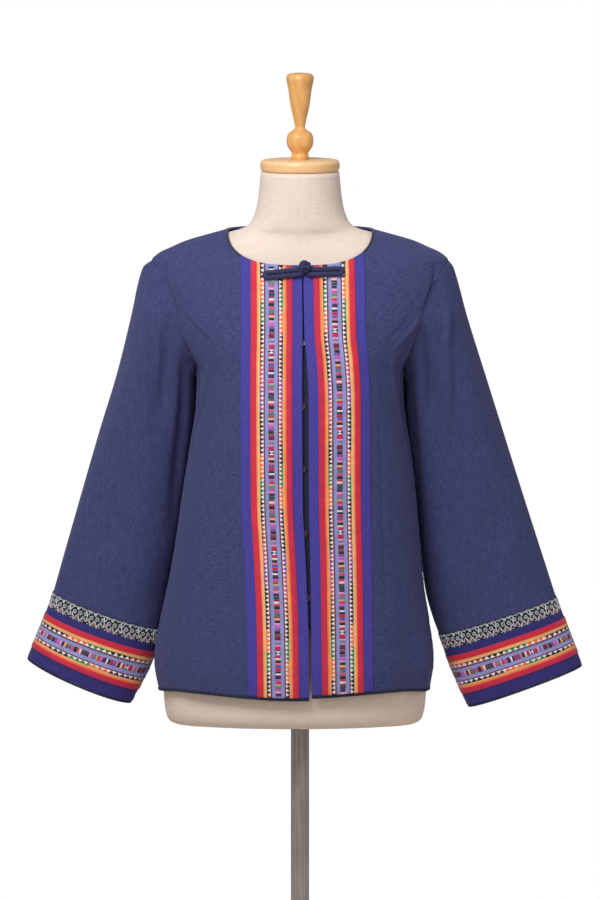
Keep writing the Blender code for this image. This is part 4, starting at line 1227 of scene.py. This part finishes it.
def addTrimThreads(pile, at, around, low, width):
    # White cord laid on the dark trim: a row of peaks, rings with dots, and a scalloped upper edge
    count = round(around / cuffs["trimRepeat"])
    step = around / count
    lift, wide, rise = jacket["gap"] + jacket["strip"] - 0.0003, cuffs["threadWidth"], cuffs["threadRise"]
    white, pale = dyes["frost"], dyes["blush"]

    def put(paths, tint, scale=1.0, taper=0.8):
        for path in paths:
            placed = [[(low + y * width, (x + i) * step) for x, y in path] for i in range(count)]
            addThreads(pile, at, placed, tint, wide * scale, rise * scale, lift, taper)

    peaks = [(0.0, 0.10), (0.09, 0.30), (0.17, 0.42), (0.25, 0.22), (0.33, 0.08), (0.42, 0.26), (0.50, 0.42),
             (0.58, 0.24), (0.67, 0.08), (0.75, 0.22), (0.83, 0.44), (0.92, 0.30), (1.0, 0.10)]
    put([peaks], pale)
    put([[(x, y - 0.13) for x, y in peaks if 0.05 < x < 0.95]], pale, 0.7)
    put([[(0.0, 0.10), (0.05, 0.35), (0.02, 0.62), (-0.06, 0.85)],
         [(0.03, 0.55), (0.12, 0.72), (0.15, 0.92)]], white)
    for x, y, radius in ((0.29, 0.52, 0.10), (0.62, 0.55, 0.105), (0.92, 0.62, 0.09), (0.46, 0.80, 0.07)):
        ring = []
        for corner in range(13):
            turn = 2 * math.pi * corner / 12
            ring.append((x + radius * math.cos(turn) * 0.9, y + radius * math.sin(turn) * step / width * 0.9))
        put([ring], white, 0.8, 1.0)
        put([[(x - 0.018, y), (x, y), (x + 0.018, y)]], white, 1.5)
    scallops = []
    for start, swell in ((0.0, 0.15), (0.23, 0.11), (0.5, 0.16), (0.76, 0.12)):
        arc = [(start + 0.23 * s, 0.80 + swell * math.sin(math.pi * s)) for s in (0, 0.2, 0.4, 0.6, 0.8, 1.0)]
        scallops.append(arc)
        scallops.append([(start + 0.01, 0.84), (start - 0.02, 0.91), (start + 0.04, 0.96)])
    put(scallops, white, 0.65)
    put([[(x, 0.03), (x + 0.05, 0.06), (x + 0.10, 0.03)] for x in (0.10, 0.28, 0.44, 0.61, 0.78)], pale, 0.9)


def makeCuff(side, word):
    gap, strip, cuffEnd, high = jacket["gap"], jacket["strip"], cuffEnds[side], jacket["cuffStrip"]
    away = stripPlaces(high, 30, (0.0005, 0.0012))
    edge = edgeRoll(away, high)[:, None]
    # the cuff strip takes the violet strip cloth darkened with painted shade
    made = [shell(f"cuff_strip_{word}_cloth", cuffSurface(side, cuffEnd - away), gap + strip + edge,
                  gap, woven["cuffClothShaded"], "violet_strip", [f"cuff_strip_{word}"], ring=True)]
    near, far = jacket["cuffTape"]
    middle = cuffEnd - (near + far) / 2
    at, around = cuffAt(side, middle)
    places, rises, tints, grounds = stripeColumns(near, far - near)
    low = 2 * gap + strip
    faces = (low + jacket["tape"] - 0.0004 + rises)[:, None]
    alongs = np.interp(np.append(cuffTurns(), 3 * math.pi), *roundCuff(side, middle)[::-1])
    made.append(shell(f"cuff_tape_{word}_cloth", cuffSurface(side, cuffEnd - places), faces, low, stitched,
                      "embroidered_tape", [f"cuff_tape_{word}"], ring=True,
                      tint=tapeTints(tints, grounds, alongs).transpose(1, 0, 2)))
    top = low + jacket["tape"] - 0.0005
    pile = newPile()
    addPatches(pile, at, near, far - near, 0.0, around, top, cuffs["patchShift"][side], side > 0)
    addTeeth(pile, at, near, far - near, (0.0, 0.0), around, top, tape["cuffToothPitch"])
    made.append(finishPile(pile, f"cuff_patches_{word}_cloth", stitched))
    pile = newPile()
    # the edge stitches of the cuff strip take the blue thread darkened with painted shade
    addStitches(pile, at, (0.0016, high - 0.0016), 0.0, around, gap + strip - 0.0001, dyes["blueShaded"])
    addStitches(pile, at, (near + 0.0008, far - 0.0008), 0.0, around, top + 0.0002, dyes["crimson"],
                *tape["tapeStitch"])
    made.append(finishPile(pile, f"cuff_stitches_{word}", threadCord))
    first, trim = high + gap, jacket["cuffTrim"]
    lengths = cuffEnd - first - np.linspace(0, trim, 12)
    made.append(shell(f"cuff_trim_{word}_cloth", cuffSurface(side, lengths), gap + strip - 0.0004, gap,
                      woven["trimCloth"], "black_white_trim", [f"cuff_trim_{word}"], ring=True))
    at, around = cuffAt(side, cuffEnd - first - trim / 2)
    pile = newPile()
    addTrimThreads(pile, at, around, first, trim)
    made.append(finishPile(pile, f"cuff_trim_threads_{word}", threadCord))
    lengths = np.linspace(cuffEnd + gap, sleeveLengths[side], 8)
    away = np.minimum(lengths - lengths[0], lengths[-1] - lengths)
    roll = rollOff(away, 0.0011, 0.0007)[:, None]
    made.append(shell(f"cuff_binding_{word}_cloth", cuffSurface(side, lengths), jacket["proud"] + roll,
                      -jacket["cloth"] - gap - roll, woven["darkCloth"], "dark_binding",
                      [f"cuff_binding_{word}"], ring=True))
    return made


for word, side in sides.items():
    makeCuff(side, word)
print("cuffs made")

# Narrow bindings of the hem and the neck

bindings = {"columns": 60, "backColumns": 110, "rows": 9, "lap": 0.0009}


def edgeTurns(level):
    # Turns of all three panels along one level, from the left front's edge round to the right's
    parts = []
    for side in (1, -1):
        turns, _ = frontGrid(side, [level], np.linspace(0, jacket["bandWidth"], 24)[:-1],
                             np.linspace(0, 1, bindings["columns"]))
        parts.append(turns[0])
    turns, _ = backGrid([level], np.linspace(0, 1, bindings["backColumns"]))
    return np.concatenate([parts[0], turns[0][1:-1], 2 * math.pi + parts[1][::-1]])


def makeBinding(name, turns, heights, nodes, material, tint=None):
    surface = bodyAt(turns, heights)
    share = np.linspace(0, 1, len(heights))
    roll = -0.0008 * (1 - np.sqrt(np.clip(1 - np.abs(2 * share - 1) ** 3, 0, 1)))[:, None]
    return shell(name, surface, jacket["proud"] + roll, -jacket["cloth"] - jacket["gap"] - roll, material,
                 "dark_binding", nodes, tint=tint)


def neckTints(turns, heights):
    # At the neckline the bands are turned in with the cloth, so its edge has their colours
    x = sectionPoint(bodyTable, turns, heights)[:, 0]
    x = (x[1:] + x[:-1]) / 2
    facing = np.cos((turns[1:] + turns[:-1]) / 2) > 0
    rightEdge, leftEdge = readTable(openingTable, heights[:-1])
    offsets = np.where(x < (rightEdge + leftEdge) / 2, rightEdge - x, x - leftEdge)
    tints = []
    for offset, front in zip(offsets, facing):
        if not front or offset > jacket["bandWidth"]:
            tints.append(dyes["navy"])
            continue
        tint, place = dyes["blue"], jacket["bandMargin"]
        for width, first, _, _ in tape["stripes"]:
            if place <= offset < place + width:
                tint = dyes[first]
            place += width
        tints.append(tint)
    return np.array(tints)[None]


shares = np.linspace(0, 1, bindings["rows"])[:, None]
turns = edgeTurns(levelSpan()[0])[None, :]
signed = (turns + math.pi) % (2 * math.pi) - math.pi
hemBinding = makeBinding("hem_binding_cloth", np.broadcast_to(turns, (len(shares), turns.size)),
                         hemHeight(signed) + shares * jacket["hemBand"], ["hem_binding"], woven["darkCloth"])
turns = edgeTurns(levelSpan()[1])[None, :]
turns = np.broadcast_to(turns, (len(shares), turns.size))
heights = neckHeight(turns, (jacket["neckBand"] + bindings["lap"]) * (1 - shares))
neckBinding = makeBinding("neck_binding_cloth", turns, heights, ["neck_binding"], stitched,
                          neckTints(turns[0], heights[0]))
print("bindings made")

# Placket behind the opening, with its buttons

placket = {
    # X and depth under the jacket's face
    "rows": ((-0.013, 0.0050), (-0.003, 0.0050), (0.0085, 0.0050), (0.0175, 0.0029), (0.030, 0.0029)),
    "span": (0.886, 1.350), "wall": 0.0012, "buttonX": 0.0022,
    "buttons": (0.927, 1.012, 1.097, 1.181, 1.264), "buttonRadius": 0.0055, "buttonThick": 0.0018,
}


def placketSurface(columns, heights):
    high = placket["span"][1]
    shift = edgeX(-1, heights, 0.0) - edgeX(-1, np.full(heights.shape, high), 0.0)
    return bodyAt(turnAtX(columns + shift, heights), heights)


def makePlacket():
    rows = np.array(placket["rows"])
    columns = np.unique(np.concatenate([np.linspace(rows[0, 0], rows[-1, 0], 24), rows[:, 0]]))
    depths = np.interp(columns, rows[:, 0], rows[:, 1])
    heights = np.linspace(*placket["span"], 150)[:, None] + 0 * columns[None, :]
    surface = placketSurface(columns[None, :], heights)
    pucker = 0.00025 * unevenWave(heights, 0.03, 3.0)
    return shell("placket_cloth", surface, -depths - np.abs(pucker), -depths - placket["wall"],
                 woven["darkCloth"], "dark_binding", ["placket"])


def setAt(piece, place, outward, upward=(0.0, 0.0, 1.0)):
    # Turn a piece modelled on the Z axis so that it faces outward, and move it there
    face = Vector(outward).normalized()
    side = Vector(upward).cross(face).normalized()
    rise = face.cross(side)
    turn = Matrix((side, rise, face)).transposed().to_4x4()
    piece.data.transform(Matrix.Translation(place) @ turn)
    piece.data.update()


def applyAll(piece):
    bpy.ops.object.select_all(action="DESELECT")
    bpy.context.view_layer.objects.active = piece
    piece.select_set(True)
    for modifier in list(piece.modifiers):
        bpy.ops.object.modifier_apply(modifier=modifier.name)


def makeButtons():
    bpy.ops.object.select_all(action="DESELECT")
    thick, radius = placket["buttonThick"], placket["buttonRadius"]
    bpy.ops.mesh.primitive_cylinder_add(vertices=48, radius=radius, depth=thick, end_fill_type="NGON")
    first = bpy.context.active_object
    first.name = "button_shape"
    bpy.ops.object.mode_set(mode="EDIT")
    bpy.ops.mesh.select_mode(type="FACE")
    bpy.ops.mesh.select_all(action="DESELECT")
    bpy.ops.object.mode_set(mode="OBJECT")
    for face in first.data.polygons:
        face.select = face.normal.z > 0.9
    bpy.ops.object.mode_set(mode="EDIT")
    bpy.ops.mesh.inset(thickness=radius * 0.24, depth=0.0)
    bpy.ops.mesh.inset(thickness=radius * 0.12, depth=-thick * 0.3)
    bpy.ops.object.mode_set(mode="OBJECT")
    bevel = first.modifiers.new("edge", "BEVEL")
    bevel.width = thick * 0.24
    bevel.segments = 3
    bevel.limit_method = "ANGLE"
    applyAll(first)
    bpy.ops.object.shade_smooth_by_angle(angle=math.radians(50))
    first.data.materials.append(buttonHorn)
    made = []
    lift = -placket["rows"][0][1] + jacket["gap"] + thick / 2
    for i, height in enumerate(placket["buttons"]):
        at = np.array([height])
        point, outward = placketSurface(np.array([placket["buttonX"]]), at)
        button = first if i == 0 else first.copy()
        if i:
            button.data = shape.copy()
        else:
            shape = first.data.copy()
        button.name = f"button_{i + 1}_horn"
        button.data.name = button.name
        if i:
            bpy.context.scene.collection.objects.link(button)
        setAt(button, Vector(point[0] + outward[0] * lift), outward[0])
        made.append(addPiece(button, [f"button_{i + 1}"]))
    bpy.data.meshes.remove(shape)
    return made


placketPiece = makePlacket()
buttons = makeButtons()
print("placket and buttons made")

# Corded fastening at the neck

frog = {
    # X and height of each cord's middle at the near and the far end
    "right": ((-0.0020, 1.3512), (-0.0430, 1.3472)), "left": ((0.0140, 1.3512), (0.0520, 1.3522)),
    "cord": 0.0027, "thick": 0.0034, "spread": 0.0031, "knot": (0.0062, 1.3560), "knotRadius": 0.0083,
    "knotCord": 0.0025,
}
frogLift = 3 * jacket["gap"] + jacket["strip"] + jacket["tape"]


def tubeAlong(name, path, radius, material, nodes, closed=True, sides=12, twist=0.0):
    # A round cord along a path, modelled as a swept ring
    path = np.asarray(path, float)
    count = len(path)
    step = np.roll(path, -1, 0) - np.roll(path, 1, 0)
    if not closed:
        step[0], step[-1] = path[1] - path[0], path[-1] - path[-2]
    step = step / np.linalg.norm(step, axis=1, keepdims=True)
    sideways = np.zeros_like(path)
    last = np.cross(step[0], [0.3, 0.2, 0.93])
    for i in range(count):
        last = last - step[i] * (last @ step[i])
        last = last / np.linalg.norm(last)
        sideways[i] = last
    if closed:  # spread the turn that is left over along the cord
        start = sideways[0] - step[-1] * (sideways[0] @ step[-1])
        start = start / np.linalg.norm(start)
        left = math.atan2(np.cross(sideways[-1], start) @ step[-1], sideways[-1] @ start)
        spread = np.arange(count) / count * left
    else:
        spread = np.zeros(count)
    other = np.cross(step, sideways)
    turns = np.arange(sides) / sides * 2 * math.pi
    angle = turns[None, :] + spread[:, None]
    ridge = 1 + 0.07 * np.cos(3 * (turns[None, :] + np.arange(count)[:, None] * twist))
    ring = (sideways[:, None] * np.cos(angle)[..., None] + other[:, None] * np.sin(angle)[..., None])
    points = path[:, None] + ring * (radius * ridge)[..., None]
    along = np.concatenate([[0], np.cumsum(np.linalg.norm(np.diff(path, axis=0), axis=1))])
    faces, uv = [], []
    for i in range(count if closed else count - 1):
        for j in range(sides):
            k, m = (i + 1) % count, (j + 1) % sides
            faces.append((i * sides + j, i * sides + m, k * sides + m, k * sides + j))
            low, high = along[i], along[i] + 0.0004 if k == 0 else along[k]
            left, right = j * radius * 0.52, (j + 1) * radius * 0.52
            uv += [(left, low), (right, low), (right, high), (left, high)]
    if not closed:
        faces += [tuple(range(sides))[::-1], tuple(range((count - 1) * sides, count * sides))]
        uv += [(0.0, 0.0)] * (2 * sides)
    return finishMesh(name, points.reshape(-1, 3), faces, uv, None, material, nodes)


def loopPath(ends, spread, lift):
    (nearX, nearZ), (farX, farZ) = ends
    along = np.array([farX - nearX, farZ - nearZ])
    length = np.linalg.norm(along)
    along = along / length
    aside = np.array([-along[1], along[0]])
    spots = []
    for share in np.linspace(0, 1, 24)[:-1]:
        spots.append(np.array([nearX, nearZ]) + along * length * share + aside * spread)
    for angle in np.linspace(math.pi / 2, -math.pi / 2, 13)[:-1]:
        spots.append(np.array([farX, farZ]) + (along * math.cos(angle) + aside * math.sin(angle)) * spread)
    for share in np.linspace(1, 0, 24)[:-1]:
        spots.append(np.array([nearX, nearZ]) + along * length * share - aside * spread)
    for angle in np.linspace(-math.pi / 2, -3 * math.pi / 2, 13)[:-1]:
        spots.append(np.array([nearX, nearZ]) + (along * math.cos(angle) + aside * math.sin(angle)) * spread)
    spots = np.array(spots)
    point, outward = bodyAt(turnAtX(spots[:, 0], spots[:, 1]), spots[:, 1])
    return point + outward * lift


def makeFrog():
    for word in ("right", "left"):
        path = loopPath(frog[word], frog["spread"], frogLift + frog["cord"])
        tubeAlong(f"frog_loop_{word}_cord", path, frog["thick"], woven["navyCord"],
                  [f"frog_loop_{word}"], twist=0.5)
    x, z = frog["knot"]
    point, outward = bodyAt(turnAtX(np.array([x]), np.array([z])), np.array([z]))
    centre = point[0] + outward[0] * (frogLift + frog["knotRadius"])
    t = np.arange(300) / 300 * 2 * math.pi
    turn, rise = 3 * t, 0.95 * np.cos(4 * t)
    reach = frog["knotRadius"] - frog["knotCord"] + 0.0007 * np.sin(8 * t)
    path = np.stack([reach * np.cos(rise) * np.cos(turn), reach * np.cos(rise) * np.sin(turn),
                     reach * np.sin(rise)], -1)
    tilt = np.array(Matrix.Rotation(0.9, 3, "X") @ Matrix.Rotation(0.4, 3, "Y"))
    tubeAlong("frog_knot_cord", path @ tilt.T + centre, frog["knotCord"], woven["navyCord"],
              ["frog_knot"], twist=0.6, sides=10)
    bpy.ops.object.select_all(action="DESELECT")
    bpy.ops.mesh.primitive_ico_sphere_add(subdivisions=3, radius=frog["knotRadius"] - frog["knotCord"] * 1.5)
    core = bpy.context.active_object
    core.name = "frog_knot_core"
    core.data.name = "frog_knot_core"
    core.data.transform(Matrix.Translation(Vector(centre)))
    bpy.ops.object.shade_smooth()
    core.data.materials.append(woven["navyCord"])
    addPiece(core)


makeFrog()
print("fastening made")

# The dress form and its stand

form = {
    # height, half width, depth of the front, depth of the back, squareness
    "rows": (
        (0.740, 0.1400, 0.0180, 0.0180, 2.20), (0.744, 0.1590, 0.0570, 0.0570, 2.20),
        (0.748, 0.1665, 0.0920, 0.0890, 2.20), (0.754, 0.1705, 0.1060, 0.1000, 2.20),
        (0.768, 0.1735, 0.1120, 0.1060, 2.20),
        (0.800, 0.1755, 0.1140, 0.1080, 2.20), (0.840, 0.1755, 0.1140, 0.1080, 2.20),
        (0.900, 0.1680, 0.1080, 0.1020, 2.20), (0.970, 0.1460, 0.0940, 0.0860, 2.20),
        (1.040, 0.1280, 0.0880, 0.0780, 2.20), (1.100, 0.1260, 0.1000, 0.0820, 2.20),
        (1.160, 0.1290, 0.1110, 0.0900, 2.20), (1.215, 0.1300, 0.1060, 0.0970, 2.20),
        (1.250, 0.1420, 0.0980, 0.0990, 2.20), (1.285, 0.1600, 0.0880, 0.0970, 2.20),
        (1.320, 0.1740, 0.0750, 0.0920, 2.10), (1.345, 0.1810, 0.0630, 0.0850, 1.90),
        (1.361, 0.1830, 0.0570, 0.0790, 1.80), (1.371, 0.1770, 0.0540, 0.0750, 1.70),
        (1.379, 0.1660, 0.0520, 0.0720, 1.60), (1.387, 0.1480, 0.0490, 0.0670, 1.50),
        (1.395, 0.1200, 0.0470, 0.0630, 1.40), (1.401, 0.0940, 0.0470, 0.0600, 1.45),
        (1.407, 0.0735, 0.0480, 0.0575, 1.80), (1.416, 0.0640, 0.0485, 0.0560, 2.00),
        (1.440, 0.0565, 0.0500, 0.0550, 2.00), (1.4811, 0.0520, 0.0520, 0.0520, 2.00),
    ),
    "turns": 144,
    # radius and height down the outline of the turned parts
    "cap": ((0.0470, 1.4814), (0.0502, 1.4823), (0.0522, 1.4851), (0.0528, 1.4892), (0.0522, 1.4933),
            (0.0502, 1.4961), (0.0470, 1.4970)),
    "finial": ((0.0112, 1.4973), (0.0117, 1.5010), (0.0108, 1.5046), (0.0142, 1.5105), (0.0171, 1.5160),
               (0.0178, 1.5220), (0.0171, 1.5280), (0.0142, 1.5330), (0.0090, 1.5366), (0.0066, 1.5400),
               (0.0080, 1.5480), (0.0112, 1.5620), (0.0138, 1.5760), (0.0153, 1.5885), (0.0173, 1.5985),
               (0.0183, 1.6040), (0.0176, 1.6080), (0.0140, 1.6110), (0.0070, 1.6120)),
    "poleRadius": 0.01225, "poleTop": 0.7397,
    "baseRadius": 0.170, "baseThick": 0.008, "hubRadius": 0.024, "hubTop": 0.040,
}


def makeTorso():
    table = smoothTable(form["rows"])
    heights = np.array([row[0] for row in form["rows"]])
    steps = [np.linspace(a, b, max(2, int((b - a) / 0.006) + 2))[:-1] for a, b in zip(heights, heights[1:])]
    levels = np.concatenate(steps + [heights[-1:]])
    turns = np.arange(form["turns"]) / form["turns"] * 2 * math.pi
    grid, up = np.meshgrid(turns, levels)
    point = sectionPoint(table, grid, up)
    outward = facingOf(lambda a, b: sectionPoint(table, a, b), grid, up)
    # Shallow grooves where the linen's four parts meet
    groove = np.zeros(grid.shape)
    for place in (0.0, 0.5, 1.0, 1.5):
        away = ((grid - place * math.pi + math.pi) % (2 * math.pi) - math.pi) * 0.12
        groove = groove + np.exp(-((away / 0.0012) ** 2))
    point = point - outward * 0.0005 * groove[..., None]
    rows, columns = grid.shape
    wide = np.concatenate([point, point[:, :1]], 1)
    u = np.concatenate([np.zeros((rows, 1)), np.cumsum(stepsOf(wide, 1), 1)], 1)
    v = np.broadcast_to(np.concatenate([[0], np.cumsum(stepsOf(point, 0).mean(1))])[:, None], u.shape)
    vertices = np.concatenate([point.reshape(-1, 3), point[:1].mean(1), point[-1:].mean(1)])
    faces, uv = [], []
    for i in range(rows - 1):
        for j in range(columns):
            k = (j + 1) % columns
            faces.append((i * columns + j, i * columns + k, (i + 1) * columns + k, (i + 1) * columns + j))
            uv += [(u[i, j], v[i, j]), (u[i, j + 1], v[i, j + 1]), (u[i + 1, j + 1], v[i + 1, j]),
                   (u[i + 1, j], v[i + 1, j])]
    low, high = rows * columns, rows * columns + 1
    for j in range(columns):
        k = (j + 1) % columns
        faces.append((low, k, j))
        uv += [(0, 0), tuple(point[0, k, :2]), tuple(point[0, j, :2])]
        faces.append((high, (rows - 1) * columns + j, (rows - 1) * columns + k))
        uv += [(0, 0), tuple(point[-1, j, :2]), tuple(point[-1, k, :2])]
    return finishMesh("form_torso_linen", vertices, faces, uv, None, woven["linenCloth"],
                      ["form_torso"])


def makeTurned(name, outline, steps, material, nodes):
    # A turned part: a line spun round the Z axis, closed at both ends
    mesh = bpy.data.meshes.new(name)
    points = [(0.0, 0.0, outline[0][1])] + [(r, 0.0, z) for r, z in outline] + [(0.0, 0.0, outline[-1][1])]
    mesh.from_pydata(points, [(i, i + 1) for i in range(len(points) - 1)], [])
    piece = bpy.data.objects.new(name, mesh)
    bpy.context.scene.collection.objects.link(piece)
    screw = piece.modifiers.new("turn", "SCREW")
    screw.steps = screw.render_steps = steps
    screw.use_merge_vertices = True
    screw.merge_threshold = 1e-6
    screw.use_normal_calculate = True
    applyAll(piece)
    bpy.ops.object.mode_set(mode="EDIT")
    bpy.ops.mesh.select_all(action="SELECT")
    bpy.ops.mesh.remove_doubles(threshold=1e-6)
    bpy.ops.mesh.normals_make_consistent(inside=False)
    bpy.ops.object.mode_set(mode="OBJECT")
    bpy.ops.object.shade_smooth_by_angle(angle=math.radians(40))
    piece.data.materials.append(material)
    return addPiece(piece, nodes)


def smoothOutline(rows, each):
    # More points along an outline, through its own
    rows = np.array(rows)
    length = np.concatenate([[0], np.cumsum(np.hypot(*np.diff(rows, axis=0).T))])
    table = smoothTable(np.column_stack([length, rows]))
    spans = [np.linspace(a, b, each + 1)[:-1] for a, b in zip(length, length[1:])]
    places = np.concatenate(spans + [length[-1:]])
    radius, height = readTable(table, places)
    return list(zip(radius.tolist(), height.tolist()))


def baseOutline():
    # Plate and hub, their corners eased
    soft, near = 0.002, 0.0006
    radius, thick, hub, top = form["baseRadius"], form["baseThick"], form["hubRadius"], form["hubTop"]
    points = [(radius - soft, 0.0), (radius - near, near), (radius, soft)]
    for outer, height in ((radius, thick), (hub, top)):
        points += [(outer, height - soft), (outer - near, height - near), (outer - soft, height)]
        if outer == radius:
            points += [(hub + soft, height), (hub + near, height + near), (hub, height + soft)]
    return points


makeTorso()
makeTurned("form_cap_wood", smoothOutline(form["cap"], 3), 96, capWood, ["form_cap"])
makeTurned("form_finial_wood", smoothOutline(form["finial"], 3), 72, handleWood,
           ["form_finial"])
poleFoot = form["hubTop"] + jacket["gap"]
makeTurned("stand_pole_steel", [(form["poleRadius"], poleFoot), (form["poleRadius"], form["poleTop"])], 64,
           poleSteel, ["stand_pole"])
makeTurned("stand_base_steel", baseOutline(), 96, baseSteel, ["stand_base"])
print("form and stand made")

# Floor, light and camera

room = {
    "distance": 11.0, "rise": 6.0, "middle": (poleX, 0.0, 1.110), "tall": 1.197,
    "floorRadius": 2.9, "sky": 0.40,
}


bpy.ops.object.select_all(action="DESELECT")
bpy.ops.mesh.primitive_circle_add(vertices=128, radius=room["floorRadius"], fill_type="NGON")
floor = bpy.context.active_object
floor.name = "floor_disc"
paleFloor, _, shader = newMaterial("paleFloor", 1.0, specular=0.0)
shader.inputs["Base Color"].default_value = linear(226, 214, 203)
floor.data.materials.append(paleFloor)

# A white room: what lights the object is softer than what shows behind it
world = bpy.data.worlds.new("studio")
bpy.context.scene.world = world
world.use_nodes = True
sky = world.node_tree
sky.nodes["Background"].inputs[0].default_value = (1.0, 1.0, 1.0, 1.0)
path = addNode(sky, "ShaderNodeLightPath")
sky.links.new(spreadRange(sky, path.outputs["Is Camera Ray"], 0.0, 1.0, room["sky"], 1.0),
              sky.nodes["Background"].inputs[1])


def areaLight(name, place, target, size, power):
    data = bpy.data.lights.new(name, "AREA")
    data.shape, data.size, data.energy = "DISK", size, power
    lamp = bpy.data.objects.new(name, data)
    lamp.location = place
    lamp.rotation_euler = (Vector(target) - Vector(place)).to_track_quat("-Z", "Y").to_euler()
    bpy.context.scene.collection.objects.link(lamp)


areaLight("keyLight", (-0.7, -1.6, 2.7), (0, 0, 1.2), 1.1, 42)
areaLight("fillLight", (1.9, -2.2, 1.9), (0, 0, 1.1), 1.6, 8)

lens = bpy.data.cameras.new("photoCamera")
lens.sensor_fit = "AUTO"
lens.sensor_width = 36.0
lens.lens = 36.0 * room["distance"] / room["tall"]
lens.dof.use_dof = False
lens.clip_end = 100.0
camera = bpy.data.objects.new("photoCamera", lens)
rise = math.radians(room["rise"])
middle = Vector(room["middle"])
camera.location = middle + Vector((0.0, -math.cos(rise), math.sin(rise))) * room["distance"]
camera.rotation_euler = (middle - camera.location).to_track_quat("-Z", "Y").to_euler()
bpy.context.scene.collection.objects.link(camera)
bpy.context.scene.camera = camera
bpy.context.scene.view_settings.view_transform = "Standard"
print("room made")
